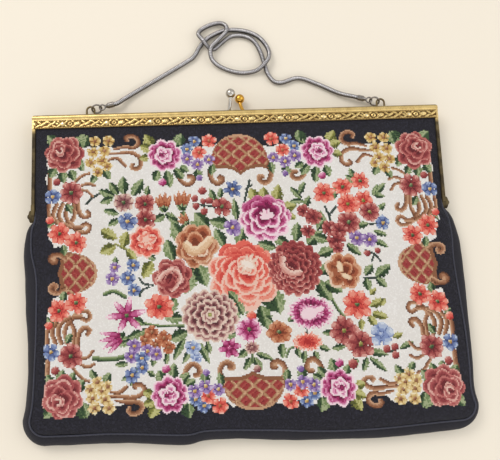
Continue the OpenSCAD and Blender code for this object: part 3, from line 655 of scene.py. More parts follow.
# The bunch in the middle
# leaves: place, angle, length, half width; flowers: place, size, squash; buds: place, radius
bunch = dict(
    vines=[
        ([(-88, 37), (-85, 40), (-80, 43)], 1.3, "twig"), ([(0, 34), (2, 41), (4.4, 49)], 1.3, "twig"),
        ([(2, 44), (5.6, 46.4)], 1.2, "twig"), ([(-28, 36), (-22, 35), (-16, 34)], 1.2, "twig"),
        ([(-22, 31), (-22.4, 38)], 1.2, "twig"), ([(-72, 14), (-66, 11), (-58, 9)], 1.3, "lime"),
        ([(-52, -9), (-57, -8), (-59, -5)], 1.2, "twig"),
        ([(-54, -10), (-58, -12), (-59, -15)], 1.2, "twig"),
        ([(-58, -29), (-50, -30.6), (-36, -31)], 1.5, "green"),
        ([(-84, -47), (-74, -47.6), (-64, -45)], 2.6, "green"),
        ([(-78, -13.4), (-73, -12), (-67, -15)], 2.4, "green"),
        ([(46, 33), (48, 29), (52, 33)], 1.4, "twig"), ([(48, 29), (48, 22)], 1.4, "twig"),
        ([(66, 8), (71, 6), (74, 2)], 1.2, "twig"), ([(71, 6), (69, 2.4)], 1.2, "twig"),
        ([(70, 23), (76, 23.4)], 1.2, "twig"), ([(45, -18), (48, -24), (51, -28)], 1.8, "green"),
        ([(30, -32), (30, -38)], 1.2, "twig"), ([(70, -47), (76, -46)], 1.2, "twig"),
        ([(0, -40), (0, -50)], 1.4, "green"), ([(18, -48), (20, -44), (24, -42.6)], 1.4, "green"),
        ([(64, -7), (70, -7)], 1.3, "twig"), ([(-16, 41), (-10, 33)], 1.3, "green"),
        ([(-12, 25), (-8, 24)], 1.2, "twig")],
    leaves=[
        (-67, 42, 92, 9, 3), (-70, 42, 125, 9, 2.8), (-62, 41, 58, 10, 3), (-72, 41, 158, 10, 2.8),
        (-73, 40, 200, 8, 2.4), (-54, 41, 80, 6, 2), (-70, 31, 165, 9, 2.4), (-70, 28, 212, 7, 2.2),
        (-44, 30, 210, 8, 2.6), (-43.6, 31, -38, 8, 2.6), (-36.4, 24.6, 148, 7, 2.6),
        (-31, 21, 160, 6, 2.6), (-33.6, 32, -100, 4, 2), (-33.6, 14.2, 122, 11.4, 4.4),
        (-40.2, 4.4, 107, 10.4, 3.8), (-30, 18, 60, 10, 3.8), (-20, 22, 130, 10, 3.8),
        (-12, 12, 115, 9, 3.6), (-8, 24, 170, 10, 3.6), (-4, 12, 70, 9, 3.4), (-4, 26, 95, 13, 2.4),
        (-16, 38, 110, 7, 2.2), (-13, 39, 80, 6, 2), (8, 36, 112, 8, 3.2, "lime"),
        (12, 37, 90, 7, 3, "lime"), (18, 34, 78, 11, 3.4, "lime"), (20, 32, 15, 9, 3.2, "lime"),
        (23, 30, -30, 7, 2.6, "lime"), (33, 38, 130, 9, 2.2), (32, 41, 62, 8, 2.2), (34, 37, 185, 8, 2),
        (34, 33, 60, 8, 2.4), (40, 31, -48, 9, 2.6), (28, 14, 80, 9, 3.2), (34, 12, 40, 10, 3.6),
        (24, 12, 150, 10, 3), (40, 20, 50, 8, 2.4), (10, 10, 165, 6, 2.4), (-80, 22, -30, 9, 3.2, "lime"),
        (-72, 13, 205, 8, 3.2, "lime"), (-68, 12, 75, 8, 3, "lime"), (-66, 11, -50, 9, 2.8, "lime"),
        (-52, 4, 240, 9, 3.4, "lime"), (-50, 5, 150, 6, 2), (-72, 2, 90, 5, 2), (-57, -30, 150, 7, 2.6),
        (-36, -27, 175, 9, 3), (-40, -16, 250, 8, 3), (-55, -32, 205, 14, 2.8), (-28.6, 0, -114, 13, 4.2),
        (-27, 2, -70, 11, 4.2), (-22, 2, 20, 6, 2.6), (-10, -13, -60, 9, 3.4), (-8, -18, -90, 10, 3.4),
        (8, -14, -55, 11, 4.4), (14, -12, -80, 12, 4.2), (6, -21, -75, 11, 4), (40, -4, 30, 8, 3.4),
        (38, -8, -60, 11, 4), (42, -9, -30, 9, 3.6), (40, 6, 20, 8, 3), (0, -28, 95, 6, 2.4),
        (-8, -36, 170, 7, 3.4), (-34, -34, 205, 9, 3.4), (-36, -38, 240, 13, 2.4), (-30, -40, 235, 13, 2.4),
        (-28, -40, -65, 12, 2.4), (-24, -39, -75, 7, 2), (-2, -44, 215, 7, 2.4), (2, -46, -20, 10, 2),
        (-1, -48, 240, 8, 2.2), (1, -48, -65, 8, 2.4), (16, -41, -90, 8, 2.8), (24, -43, -80, 6, 2),
        (28, -45, -100, 7, 2), (33, -45, -70, 6, 2), (36, -43, -20, 6, 2), (12, -30, 140, 6, 2),
        (20, -30, 40, 5, 1.8), (64.4, -5.6, 50, 8, 2.8), (64.8, -7.4, -80, 7, 2.8),
        (70.4, -6.4, 37, 9.4, 3), (70.6, -7, -45, 7.4, 2.6), (66, -16, 40, 5, 2, "lime"),
        (65, -22.4, 22, 10, 2.8, "lime"), (66, -26, -16, 9, 2.6, "lime"), (64, -27, -60, 8, 2.6, "lime"),
        (60, -29, -95, 6, 2.2, "lime"), (74, -18, 240, 5, 1.8, "lime"), (44, -36, 180, 6, 2),
        (50, -43, 190, 8, 2.2), (62, -46, -10, 11, 2.4), (62, -49, -40, 12, 2.2), (61, -49, -110, 8, 2.2),
        (56, -50, 220, 5, 2.4), (79, -45, 25, 9, 2), (76, -39, 20, 6, 2, "lime"), (74, 39, 65, 8, 2.2),
        (76, 41, 45, 8, 2.2), (74, 40, -10, 7, 2), (66, 46, 140, 9, 2.6), (64, 50, 110, 6, 2),
        (52, 38, 80, 8, 2), (76, 31, 40, 6, 2), (62, 22, 10, 8, 2.4), (72, 19, -20, 8, 2),
        (72, 14, -30, 8, 2.2), (56, 12, -40, 10, 2.8), (46, 14, 160, 7, 3), (-64, -38, 200, 8, 2.4),
        (-60, -52, 215, 12, 2.2), (-62, -56, 240, 6, 1.8), (-56, -54, -30, 5, 1.8), (-66, -50, 185, 7, 2),
        (-52, -46, -100, 6, 2), (-45, -44, -100, 8, 1.8), (-48, -58, 80, 6, 1.8)],
    flowers=[
        ("daisy", "mauve", "green", [(-67, 37.4, 6.2, .85)]),
        ("daisy", "garnet", "green", [(-55, 36.4, 6.2, .9), (-55, 27.4, 6.0)]),
        ("five", "blue", "yellow", [(-65, 26.6, 5.4)]),
        ("star", "blue", "yellow", [(-5.4, 44.2, 5.6)]),
        ("five", "garnet", "green", [(-12, 34, 5.6)]),
        ("five", "purple", "yellow", [(-6.6, 22.2, 5.0)]),
        ("aster", "coral", "green", [(46, 41, 6.6, .95), (57, 44.6, 6.0, .9), (67.4, 48, 5.4)]),
        ("aster", "coral", "lime", [(68, 36.6, 6.2), (59, 34.6, 7.0, .9)]),
        ("daisy", "garnet", "lime", [(71, 30, 6.2, .9)]),
        ("daisy", "garnet", "green", [(58.6, 24, 7.0, .9)]),
        ("spray", "garnet", "green", [(33.4, 31, 3.8), (38.6, 27.4, 5.2, .9), (35.2, 19.4, 4.0),
            (47.4, 21, 4.6), (52.6, 19.6, 4.8), (50.4, 14, 5.4), (51, 9.6, 3.2)]),
        ("five", "purple", "yellow", [(62, 15.2, 4.4), (69, 14.2, 4.4)]),
        ("five", "blue", "yellow", [(77.6, 23.6, 4.2)]),
        ("five", "purple", "yellow", [(-74, -5.2, 4.0), (-72.4, 1, 3.0)]),
        ("five", "blue", "yellow", [(-65.4, -5.0, 4.2), (-62.4, 2, 3.8), (-62.2, -11.6, 3.8)]),
        ("lily", "magenta", "green", [(-66.4, -25, 11.0, .95)]),
        ("aster", "coral", "green", [(-48.6, -20.6, 8.6, .85)]),
        ("five", "rust", "brown", [(-53, -34, 3.8), (-56.6, -38, 3.6), (-46.6, -37, 4.0), (-44.6, -42, 3.6),
            (-51, -40.6, 3.2)]),
        ("five", "purple", "yellow", [(-62.6, -41, 4.0), (-64.4, -46.4, 3.6), (-55.6, -43.6, 3.6),
            (-51, -45.4, 3.6)]),
        ("five", "blue", "yellow", [(-58.6, -47.4, 3.8), (-58.6, -52, 3.6), (-64, -56, 4.2)]),
        ("daisy", "magenta", "green", [(-1, -33.6, 7.2, .9)]),
        ("daisy", "rust", "green", [(15, -35.2, 7.0, .85)]),
        ("spiky", "coral", "rust", [(30, -40.4, 8.4, .62)]),
        ("star", "magenta", "magenta", [(-12, -43, 6.4, .9)]),
        ("daisy", "mauve", "mauve", [(0, -43, 4.0, .8)]),
        ("five", "sky", "yellow", [(-31.6, -42.4, 4.4, .9)]),
        ("five", "sky", "sky", [(-30, -47.6, 3.2)]),
        ("aster", "coral", "green", [(58.4, -21.4, 8.4)]),
        ("daisy", "garnet", "lime", [(50, -35, 7.8), (58.2, -42.2, 7.8, .95)]),
        ("five", "sky", "sky", [(70, -37.4, 6.6)])],
    buds=[
        ("garnet", [(-22.6, 43.4, 2.4), (-27, 39, 2), (-26.6, 34.6, 2), (-19, 37.6, 2), (-22, 31.6, 2),
            (-22.4, 37.4, 1.6), (67, 6.6, 1.8), (73, 8, 1.8), (76.4, -44, 2), (76.4, -48.2, 2),
            (72, -45, 2), (53, -52.4, 2.6)]),
        ("coral", [(0.6, -26.4, 2.6)]),
        ("mauve", [(2, -54, 2)])],
    tulips=[
        (-44.6, 31.6, 92, 8.6, "rust"), (-34.6, 32.2, 88, 9, "rust"), (-31.2, 24, 130, 6, "rust"),
        (-67.4, -35.4, 200, 11.2, "magenta")])


def paintBorder(c, mx, my):
    def turned(angle):
        a = math.radians(angle)
        return math.degrees(math.atan2(my * math.sin(a), mx * math.cos(a)))

    def spot(x, y):  # no two corners of hand work are quite alike
        if my < 0:
            shift = border["lowRight"] if mx > 0 else border["lowLeft"]
            y += float(np.interp(y, border["shiftAt"], shift))
        elif mx < 0 and y > 47:
            y -= float(np.interp(x, [20, 45, 60, 75], [0.8, 1.4, 0.8, 0]))
            x -= float(np.interp(x, [80, 95], [1.1, 0]))
        side = float(np.interp(y, [48, 60], [1.5, 0])) if mx > 0 else 0.0
        return mx * x, my * y + side
    c.patch(*spot(65.4, 74.4), 5.4, 2.6, 0, "black", 0.3, 0.7)  # the ground inside the scroll
    for points, width in border["vines"]:  # the upper scrolls are finer and start thin
        more, root = (0.3, 0.5) if points[0][1] > 60 else (0.6, 0.9)
        c.vine([spot(x, y) for x, y in points], width + more, "brown", 0.9, root)
    for x, y, angle, length, half, *wool in border["leaves"]:
        c.leaf(*spot(x, y), turned(angle), length, half, *wool)
    for x, y, r, wool in border["buds"]:
        c.disc(*spot(x, y), r, wool)
    for kind, wool, eye, places in border["flowers"]:
        # painted light: yellow flowers in the lower corners take the paler straw yarn
        woolWithPaintedLight = "straw" if wool == "yellow" and my < 0 else wool
        for x, y, size in places:
            c.flower(kind, *spot(x, y), size, woolWithPaintedLight, turned(100), eye)
    x, y, size = border["rose"]
    # painted shade: the roses in the upper corners take the darker garnet yarn
    wool = "garnet" if my > 0 else "rose"
    x, y = c.bloom("rose", *spot(x, y), size, wool, turned(40), 0.34)
    c.heart(x, y, 0.17 * size, wool, turned(40))
    x, y, size = border["peony"]
    x, y = c.bloom("peony", *spot(x, y), size, "magenta", turned(20), 0.08)
    curl = [(x + mx * p * size, y + q * size) for p, q in ((-.26, .12), (-.1, 0), (.02, .14))]
    c.vine(curl, 1.3, "magenta")
    c.patch(x + mx * 0.1 * size, y, 1.5, 1.2, 0, "magenta", 0.0, 0.3)


def paintSprigs(c):
    # what lies under the large flowers of the bunch
    for points, width, wool in bunch["vines"]:
        c.vine(points, width, wool)
    for x, y, angle, length, half, *wool in bunch["leaves"]:
        full = 1.18 if half > 2.9 else 1.0
        c.leaf(x, y, angle, length * full, half * full, *wool)
    for wool, places in bunch["buds"]:
        for place in places:
            c.disc(*place, wool)
    for x, y, angle, length, wool in bunch["tulips"]:
        slim, sepal = (0.18, 0.5) if wool == "rust" else (0.12, 0.26)
        for turn, part in ((-26, 1.2), (26, 1.15), (-8, 1.3), (9, 1.25)):
            c.petal(x, y, angle + turn, length * part, length * slim, wool, 0.1, 0.95, 0.85)
        for turn in (-40, 0, 40):
            c.leaf(x, y, angle + turn, length * sepal, length * 0.16, "green", 1)
    for kind, wool, eye, places in bunch["flowers"]:
        for x, y, size, *squash in places:
            c.flower(kind, x, y, size, wool, 10, eye, *squash)


def paintRoses(c):
    # a coral bloom, then a tan, a garnet and another tan rose
    c.bloom("peony", -55, 15.2, 9.8, "coral", 60, 0.1, 0.88)
    for turn in range(15, 375, 60):
        c.petal(-54.6, 15.6, turn, 5.6, 1.2, "coral", 1.1, 0.55, 0.9)
    c.bloom("rose", 53, -3, 9.8, "tan", 140, 0.1)
    for x, y, r, angle, wool in ((46.4, -0.4, 3.8, 160, "tan"), (48.6, -8, 4.2, 230, "tan"),
                                 (51, 3, 3.8, 100, "rust"), (56.2, 2, 4, 50, "rust"),
                                 (58.6, -3.4, 3.8, 0, "rust"), (56, -9, 3.8, -60, "rust")):
        c.cup(x, y, r, angle, wool, 0.15, 0.9, 0.2)
    c.cup(54.6, -1.6, 3.4, 30, "rust", 0.0, 0.8, 0.2)
    c.patch(51, -0.6, 1.8, 3.2, 10, "sand", 0.2, 1.1)
    c.patch(54.2, -6, 3.2, 1.5, -25, "sand", 0.2, 1.1)
    c.bloom("rose", -40.8, -5.4, 11.0, "garnet", 200, 0.1)
    c.vine([(-48.2, -6.2), (-45.4, -2.6), (-40.8, -0.8), (-37.2, -3.2), (-37.5, -7.6), (-41.4, -12)],
           2.4, "blush", 0.7)
    c.disc(-43, -7.8, 3.4, "garnet", 0.2, 0.75)
    c.petal(-44.6, -8.6, 62, 6.4, 1.6, "garnet", 0.5, 0.0, 1.0)
    c.bloom("rose", -27.4, 12, 12.2, "tan", 80, 0.1)
    for x, y, r, angle in ((-33, 16.4, 4.4, 140), (-29, 20, 4.2, 105), (-23.4, 19.4, 4.4, 70),
                           (-28, 15.6, 4.6, 100)):
        c.cup(x, y, r, angle, "rust", 0.15, 0.85, 0.2)
    c.vine([(-32.6, 12.6), (-30, 9.6), (-26.8, 9.6), (-23.6, 11.6), (-19.8, 15.4)], 5.0, "sand")


def paintFullFlowers(c):
    # the five largest flowers, with three leaves over the middle one
    x, y = c.bloom("ruffled", 11.4, 27.4, 14.2, "magenta", 75, 0.2, 0.88, 0.2)
    c.patch(x, y + 1.2, 4.4, 3.0, 0, "magenta", 0.0, 0.2)
    for turn in (30, 70, 110, 150):
        c.petal(x + 0.6, y - 1.6, turn, 4.4, 1.1, "magenta", 0.9, 1.1, 1.2)
    c.patch(x + 0.8, y - 1.8, 4.2, 1.6, 12, "magenta", 0.85, 1.1)
    x, y = c.bloom("shaggy", -2.4, -4.2, 18.6, "coral", 65, 0.34, 0.93, 0.24)
    for k, turn in enumerate(range(-75, 300, 34)):
        c.petal(x + 0.3, y + 0.6, turn, 5.2 + 1.4 * math.sin(5 * k), 1.1, "ivory", 1.0, 0.3, 0.9)
    c.patch(x + 0.3, y + 0.4, 4.4, 2.2, -24, "ivory", 0.4, 1.1)
    for leaf in ((16.6, 10.4, 163, 10.5, 3.4), (-11, -12.8, -52, 8.6, 2.6), (-6.6, -18.6, -66, 8, 2.8)):
        c.leaf(*leaf)
    c.bloom("pompon", 26.4, -1, 14.8, "garnet", 190, 0.16, 1.03, 0.12)
    c.vine([(20, 4.4), (19.4, 0.8), (21.4, -2), (24.6, -4), (28.4, -3.4)], 3.4, "blush")
    c.vine([(21.4, 2), (22.4, -0.4), (25.4, -2)], 1.3, "garnet")
    x, y = c.bloom("dahlia", -21.4, -25.8, 15.2, "mauve", 100, 0.04, .92)
    c.patch(x, y, 2.4, 2.2, 0, "mauve", 0.8, 1.1)
    c.patch(x, y, 1.1, 1.1, 0, "lime", 0.4, 0.8)
    c.flower("mum", 33, -25, 12.4, "magenta", 5, "green", .74)
    for turn in range(0, 360, 20):
        c.petal(33 + 2 * math.cos(math.radians(turn)), -25, turn, 5.0 + math.sin(turn), 1.1,
                "magenta", 1.0, 0.7, 0.9)
    c.patch(32, -25.6, 5.0, 3.4, 15, "magenta", 0.75, 1.1)
    c.patch(37.6, -23.6, 3.0, 1.6, 20, "magenta", 0.75, 1.1)


def planeMap(places, wanted):
    # the plane projection that takes four places to four wanted ones
    rows = []
    for (x, y), (u, v) in zip(places, wanted):
        rows += [[x, y, 1, 0, 0, 0, -u * x, -u * y, -u], [0, 0, 0, x, y, 1, -v * x, -v * y, -v]]
    return np.linalg.svd(np.array(rows, float))[2][-1].reshape(3, 3)


def paintCanvas(x, y):
    h = planeMap(tapestry["corners"], tapestry["square"])
    q = np.stack([x, y, np.ones_like(x)], -1) @ h.T
    c = Canvas(q[..., 0] / q[..., 2], q[..., 1] / q[..., 2])
    everywhere = np.arange(c.x.size)
    c.stitch(everywhere, np.full(c.x.size, 0.5), "black", 1.6)
    ragged = 1.3 * wander(c.x, c.y, 9, 51), 1.3 * wander(c.x, c.y, 9, 52)
    field = everywhere[insidePolygon(c.x + ragged[0], c.y + ragged[1], fieldEdge)]
    c.stitch(field, np.full(field.size, 0.55), "cream", 1.2)
    paintSprigs(c)
    paintRoses(c)
    paintFullFlowers(c)
    for place in baskets:
        c.basket(*place)
    for mx in (-1, 1):
        for my in (-1, 1):
            paintBorder(c, mx, my)
    return c.rgb


# The front panel: one small face for each stitch

# stitchLong and stitchWide are shares of a cell
tapestry = dict(stitch=0.66, stitchLong=0.66, stitchWide=0.44, inset=0.6, sag=0.22, pucker=0.16,
                puckerReach=3.5, tuck=0.5, tuckReach=1.3, flatY=66, flatRun=9, bendReach=9.0,
                corners=[(-96.6, 61.0), (98.6, 57.5), (104.3, -75.4), (-96.7, -70.2)],
                square=[(-100, 66.4), (100, 66.4), (100, -66.4), (-100, -66.4)])


def tapestryFinish():
    f = Finish("stitchedYarn", Sheen_Weight=0.12, Sheen_Roughness=0.5, Specular_IOR_Level=0.2)
    yarnShade = f.node("ShaderNodeVertexColor", {"layer_name": "stitches"})
    u, v, _ = f.axes(f.node("ShaderNodeUVMap", {"uv_map": "stitchGrid"}))
    p, q = u.does("FRACT") - 0.5, v.does("FRACT") - 0.5
    lengthwise, crosswise = (p + q) * 0.707, (p - q) * 0.707  # one slanted stitch in each cell
    lump = 1 - (lengthwise / tapestry["stitchLong"]) ** 2 - (crosswise / tapestry["stitchWide"]) ** 2
    fuzz, fade = f.noise(3200, 2), f.noise(28, 3)
    # painted shade: the gaps between the stitch lumps are darkened
    shade = f.mix(f.span(lump, -0.4, 0.7, 0.12, 0.0), yarnShade, tint(60, 50, 48), "MULTIPLY")
    shade = f.mix(f.span(fade, 0.35, 0.7, 0.0, 0.1), shade, tint(214, 196, 168), "MULTIPLY")
    f.feed(Base_Color=shade, Roughness=f.span(fuzz, 0.3, 0.7, 0.78, 0.95))
    f.bump(lump + fuzz * 0.4, 0.00016)
    return f


def flatGrid(inset, step, topY):
    # u runs from -1 to 1 across the panel
    low = bag["lowY"] + inset
    rows, cols = int((topY - low) / step) + 1, int(2 * seamX(bag["cornerY"]) / step) + 1
    u, y = np.meshgrid(np.linspace(-1, 1, cols), np.linspace(low, topY, rows))
    return u, u * panelX(y, inset), y


def frontLevel(u, x, y):
    # the panel's height, with a soft sag and small puckers along the seam
    t = tapestry
    near = np.minimum(np.abs(panelX(y, t["inset"]) - np.abs(x)), np.maximum(y - bag["lowY"] - t["inset"], 0))
    calm = 1 - eased((y - t["flatY"]) / t["flatRun"])
    wave = np.sin(1.15 * (x + y) + 2 * wander(x, y, 30, 5))
    level = bag["frontZ"] + crownAt(u, y)
    level = level + t["sag"] * wander(x, y, 70, 3) * calm
    level = level + t["pucker"] * wave * np.exp(-near / t["puckerReach"]) * calm
    return level - t["tuck"] * np.exp(-near / t["tuckReach"]) * calm


def follow(piece, front):
    # cloth of the front keeps its place baked into its points, the rest stays with the back half
    if front:
        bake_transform(piece)
    else:
        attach(piece, "bag")


def makeFrontPanel():
    u, x, y = flatGrid(tapestry["inset"], tapestry["stitch"], bag["tuckY"])
    z = frontLevel(u, x, y)
    x, y = settle(x, y, True)
    piece = makeSheet("tapestryFront", x, y, z, tapestryFinish())

    def centres(a):
        return (a[:-1, :-1] + a[1:, :-1] + a[:-1, 1:] + a[1:, 1:]) / 4
    shades = linear(paintCanvas(centres(x), centres(y)))
    shades = np.hstack([shades, np.ones((len(shades), 1))])
    piece.data.color_attributes.new("stitches", "FLOAT_COLOR", "CORNER").data.foreach_set(
        "color", np.repeat(shades, 4, axis=0).astype(np.float32).ravel())
    i, j = np.meshgrid(np.arange(len(x) - 1), np.arange(len(x[0]) - 1), indexing="ij")
    grid = np.stack([np.stack([j + a, i + b], -1) for a, b in ((0, 0), (1, 0), (1, 1), (0, 1))], 2)
    piece.data.uv_layers.new(name="stitchGrid").data.foreach_set("uv", grid.astype(np.float32).ravel())
    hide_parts("front_panel")
    follow(piece, True)
    print("front panel:", len(shades), "stitches")


makeFrontPanel()


# Black cloth, piping and lining

cloth = dict(rib=0.55, piping=(52, 53, 66), black=(29, 28, 36), lining=(214, 200, 176))


def clothFinish(name, shade, rib, gloss):
    f = Finish(name, Sheen_Weight=0.1, Sheen_Roughness=0.4, Specular_IOR_Level=0.3)
    x, y, z = f.axes(f.place())
    warp = (x * (2 * math.pi / (rib * mm))).does("SINE")
    weft = ((y + z) * (2 * math.pi / (rib * mm))).does("SINE")
    fuzz, worn = f.noise(2400, 2), f.noise(45, 4)
    weave = warp * weft
    dark, pale = tint(*(v * 0.8 for v in shade)), tint(*(min(255, v * 1.22 + 3) for v in shade))
    f.feed(Base_Color=f.mix(f.span(weave * 0.5 + worn, 0.0, 1.0, 0.0, 1.0), dark, pale),
           Roughness=f.span(fuzz, 0.3, 0.7, gloss - 0.08, gloss + 0.1))
    f.bump(weave + fuzz * 0.7, 0.00005)
    return f


blackCloth = clothFinish("blackFaille", cloth["black"], cloth["rib"], 0.72)
pipingCloth = clothFinish("pipingSatin", cloth["piping"], 0.4, 0.42)
liningCloth = clothFinish("liningSatin", cloth["lining"], 0.45, 0.5)


piping = dict(step=0.5, sides=12, radius=0.47, strand=0.05, lay=3.2, uneven=0.12, tuck=1.1, sink=0.9,
              frontZ=8.7, backZ=0.8)
gusset = dict(step=1.0, middleZ=4.75, halfZ=3.55, lip=1.0, flare=1.8, flareRun=1.4, fullRun=14.0, slim=1.6,
              full=1.6, fullY=-10.0, fullReach=22.0, foot=0.4, slack=0.1, crease=0.12)
back = dict(inset=0.4, step=1.2, z=0.45, slack=0.3, flatY=60)
lining = dict(inset=1.3, step=1.5, frontZ=7.7, backZ=1.42, fold=0.1, flatY=62)


def makePiping(name, node, topY, front):
    p = piping
    edge = seamEdge(p["step"], topY)
    beside = eased((edge[:, 1] - bag["hingeY"] + 4) / 12)  # tucked in beside the arms
    z = p["frontZ"] - p["sink"] * beside if front else p["backZ"] + p["sink"] * beside
    line = np.stack([edge[:, 0] - edge[:, 2] * p["tuck"] * beside, edge[:, 1], z], -1)
    shift = p["uneven"] * wander(edge[:, :1], edge[:, 1:2], 40, 8)
    line[:, :2] += edge[:, 2:] * shift * (1 - beside[:, None])
    line[:, 0], line[:, 1] = settle(line[:, 0], line[:, 1], front)

    def twisted(k, angle):
        return p["radius"] * (1 + p["strand"] * np.sin(3 * angle + 2 * math.pi * k * p["step"] / p["lay"]))
    points, faces = tube(line, twisted, p["sides"])
    piece = makePiece(name, points, faces, pipingCloth)
    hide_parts(node)
    follow(piece, front)


def makeGusset():
    g = gusset
    edge = seamEdge(g["step"], bag["hingeY"])
    edgeX, edgeY, outX, outY = (edge[:, k:k + 1] for k in range(4))
    s = np.arange(len(edge))[:, None] * g["step"]
    a = np.radians(np.linspace(-90, 90, 19))[None, :]
    below = np.maximum(0, bag["flareY"] - edgeY)
    near, far = 1 - np.exp(-below / g["flareRun"]), 1 - np.exp(-below / g["fullRun"])
    low = eased((-20 - edgeY) / 50) * np.abs(outX)
    fuller = g["full"] * np.exp(-((edgeY - g["fullY"]) / g["fullReach"]) ** 2)
    bulge = bag["bulge"] - (g["lip"] + g["flare"]) - g["slim"] * low + fuller - g["foot"] * outY
    out = g["lip"] + g["flare"] * near + bulge * far
    out = out * (1 + g["slack"] * wander(s, 0 * s, 55, 21) * far)
    crease = g["crease"] * far * wander(s + 0 * a, 9 * a + 0 * s, 14, 23) * np.cos(a) ** 2
    n = (near - 1) + out * np.cos(a) + crease
    x, y, z = edgeX + outX * n, edgeY + outY * n, g["middleZ"] + g["halfZ"] * np.sin(a) + 0 * n
    hold = eased((z - 3) / 5)  # the upper edge keeps to the front piping
    x, y = (f * hold + b * (1 - hold) for f, b in zip(settle(x, y, True), settle(x, y, False)))
    piece = makeSheet("sideGusset", x, y, z, blackCloth)
    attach(piece, "bag")
    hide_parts("gusset")


def backLift(y):
    return bag["lift"] * np.clip((y - bag["barY"] + 7) / 6, 0, 1)


def makeBackPanel():
    u, x, y = flatGrid(back["inset"], back["step"], bag["tuckY"])
    calm = 1 - eased((y - back["flatY"]) / 9)
    z = back["z"] + backLift(y) + back["slack"] * wander(x, y, 60, 31) * (1 - u ** 4) * calm
    x, y = settle(x, y, False)
    piece = makeSheet("backPanel", x, y, np.maximum(z, 0.05), blackCloth, True)
    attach(piece, "bag")
    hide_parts("back_panel")


def makeLining(name, node, front):
    u, x, y = flatGrid(lining["inset"], lining["step"], bag["tuckY"] - 0.3)
    calm = 1 - eased((y - lining["flatY"]) / 9)
    fold = lining["fold"] * np.sin(x / 2.3 + 2 * wander(x, y, 50, 41)) * calm
    z = lining["frontZ"] + crownAt(u, y) + fold if front else lining["backZ"] + backLift(y) + fold
    x, y = settle(x, y, front)
    piece = makeSheet(name, x, y, z, liningCloth, front)
    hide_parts(node)
    follow(piece, front)


makePiping("frontPiping", "front_piping", bag["tuckY"], True)
makePiping("backPiping", "back_piping", bag["barY"] - 0.3, False)
makeGusset()
makeBackPanel()
makeLining("liningFront", "lining_front", True)
makeLining("liningBack", "lining_back", False)
print("cloth pieces ready")


# Gilt frame with its stamped strips

# arm is the near-black colour of the painted shade on the arms, rim the height of a painted shade line along
# the bar's top, and the palest colour is a painted highlight for the highest relief
gilt = dict(bright=(234, 206, 140), deep=(84, 54, 20), worn=(168, 124, 62), reliefHighlight=(252, 240, 208),
            arm=(24, 15, 8), rough=0.24, rim=83.4)
# leaves of one repeat: middle, angle, half length and width, height
strip = dict(
    half=114.0, lowY=76.0, width=4.8, base=10.2, floor=0.1, relief=0.5, pitch=24.5, step=0.22, rows=22,
    leaves=[(8.2, .1, 12, 2.1, 1.25, .95), (1.9, -1.25, -35, 1.4, .5, .7), (2.1, 1.3, 35, 1.3, .5, .7),
            (5.9, 1.25, -30, 1.4, .5, .7), (6.0, -1.35, 25, 1.5, .5, .7), (10.8, -1.0, 28, 2.0, .6, .75),
            (11.6, .95, -32, 1.9, .6, .8), (13.9, .2, 32, 2.5, .75, .85), (14.6, -1.5, 8, 1.7, .45, .65),
            (16.4, 1.2, -24, 2.0, .6, .8), (17.2, -.6, 36, 2.2, .7, .85), (19.5, .7, 44, 2.1, .65, .8),
            (20.1, -1.3, -16, 1.8, .5, .7), (22.2, 1.3, -38, 1.4, .5, .7), (22.3, -1.1, 30, 1.5, .5, .7),
            (21.6, .1, -28, 1.4, .6, .75)])


def giltFinish(name, relief=False, darkShare=0.0):
    f = Finish(name, Metallic=1.0)
    spots, fine = f.noise(180, 4), f.noise(1500, 3)
    bright, deep, worn = tint(*gilt["bright"]), tint(*gilt["deep"]), tint(*gilt["worn"])
    shade = f.mix(f.span(spots, 0.42, 0.72, 0.0, 0.4), bright, worn)
    if relief:
        height = f.node("ShaderNodeAttribute", {"attribute_name": "relief"}, out="Fac")
        shade = f.mix(f.span(height, 0.0, 0.6, 0.95, 0.0), shade, deep)
        # painted highlight: the highest relief turns near-white
        shade = f.mix(f.span(height, 0.7, 0.95, 0.0, 0.9), shade, tint(*gilt["reliefHighlight"]))
    else:
        _, y, _ = f.axes(f.place())
        # painted shade: the arms below the bar get a near-black, duller colour; darkShare sets how much of it
        # the parts above get
        arm = f.span(y, (bag["barY"] - 3) * mm, (bag["barY"] + 0.5) * mm, 0.95, darkShare)
        # painted shade: a dark band on the bead's shaded side from the rim height up, and a lighter painted
        # shade over the top face above it
        rim = f.span(y, (gilt["rim"] - 0.4) * mm, gilt["rim"] * mm, 0.0, 0.75)
        past = f.span(y, (gilt["rim"] + 0.4) * mm, (gilt["rim"] + 0.6) * mm, 0.0, 0.5)
        arm = arm.does("MAXIMUM", rim - past)
        shade = f.mix(arm * f.span(spots, 0.3, 0.6, 0.85, 1.0), shade, tint(*gilt["arm"]))
        f.feed(Metallic=1 - arm * 0.6)
    dull = gilt["rough"] * (0.7 if relief else 1.0)
    rough = f.span(fine, 0.3, 0.7, dull * 0.75, dull * 1.4)
    f.feed(Base_Color=shade, Roughness=rough if relief else rough + arm * 0.5)
    f.bump(fine + spots, 0.00006)
    return f


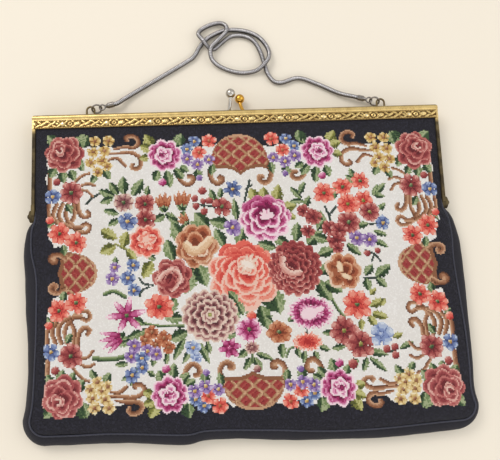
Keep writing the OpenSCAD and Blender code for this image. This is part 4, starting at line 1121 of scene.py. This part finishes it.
def stampedRelief(x, y):
    # a pointed boss, a ring and a bud, then crossing leaves, heights from 0 to 1
    def past(place):
        return (x - place + 4.5 * strip["pitch"]) % strip["pitch"] - strip["pitch"] / 2

    def blade(cx, cy, angle, length, half, tall):
        c, n = math.cos(math.radians(angle)), math.sin(math.radians(angle))
        u, v = past(cx) * c + (y - cy) * n, (y - cy) * c - past(cx) * n
        body = np.maximum(0, 1 - (u / length) ** 2 - (v / half) ** 2)
        return tall * body ** 0.7 * (1 - 0.3 * np.exp(-(v / 0.15) ** 2)) * (0.88 + 0.12 * np.cos(7 * u))
    boss = np.maximum(0, 1 - (np.abs(past(0)) / 1.9) ** 1.3 - (np.abs(y) / 1.6) ** 1.3) ** 0.6
    ring = 0.7 * np.exp(-((np.hypot(past(4.1), y) - 0.85) / 0.3) ** 2)
    beads = np.maximum(0, 1 - ((np.abs(y) - 2.0) / 0.26) ** 2 - ((past(0) % 0.9 - 0.45) / 0.36) ** 2) * 0.6
    return np.maximum.reduce([boss, ring, beads] + [blade(*leaf) for leaf in strip["leaves"]])


def makeStrip(name, node, body, front):
    t = strip
    x, y = np.meshgrid(np.linspace(-t["half"], t["half"], int(2 * t["half"] / t["step"])),
                       np.linspace(-t["width"] / 2, t["width"] / 2, t["rows"]))
    edge = np.minimum(1, (t["width"] / 2 - np.abs(y)) / 0.25)
    high = stampedRelief(x, y) * np.clip(edge, 0, 1)
    z = t["base"] + (t["floor"] * np.clip(edge * 2, 0, 1) + t["relief"] * high)
    if not front:
        z = bag["thick"] - z
    piece = makeSheet(name, x, y + t["lowY"] + t["width"] / 2, z, giltFinish(name + "Gilt", True), not front)
    mark(piece, "relief", high)
    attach(piece, body)
    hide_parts(node)


makeStrip("stampedFront", "ornament_front", "front_frame", True)
makeStrip("stampedBack", "ornament_back", "bag", False)


def dress(finish, *names):
    for n in names:
        cad[n].data.materials.clear()
        cad[n].data.materials.append(finish.material)


dress(giltFinish("frameGilt", False, 0.12), "frame_front", "frame_back")
dress(giltFinish("eyeGilt", False, 0.78), "chain_eye_left", "chain_eye_right")
dress(giltFinish("rivetGilt", False, 0.3), "hinge_rivet_left", "hinge_rivet_right")
claspGilt = Finish("claspGilt", Base_Color=tint(214, 164, 70), Metallic=1.0, Roughness=0.2)
dress(claspGilt, "clasp_front")
dress(steelFinish("ballSteel", (214, 208, 200), 0.14), "clasp_back")
dress(steelFinish("ringSteel", (168, 162, 158), 0.26), "chain_ring_left", "chain_ring_right",
      "chain_cap_left", "chain_cap_right")
print("metal ready")
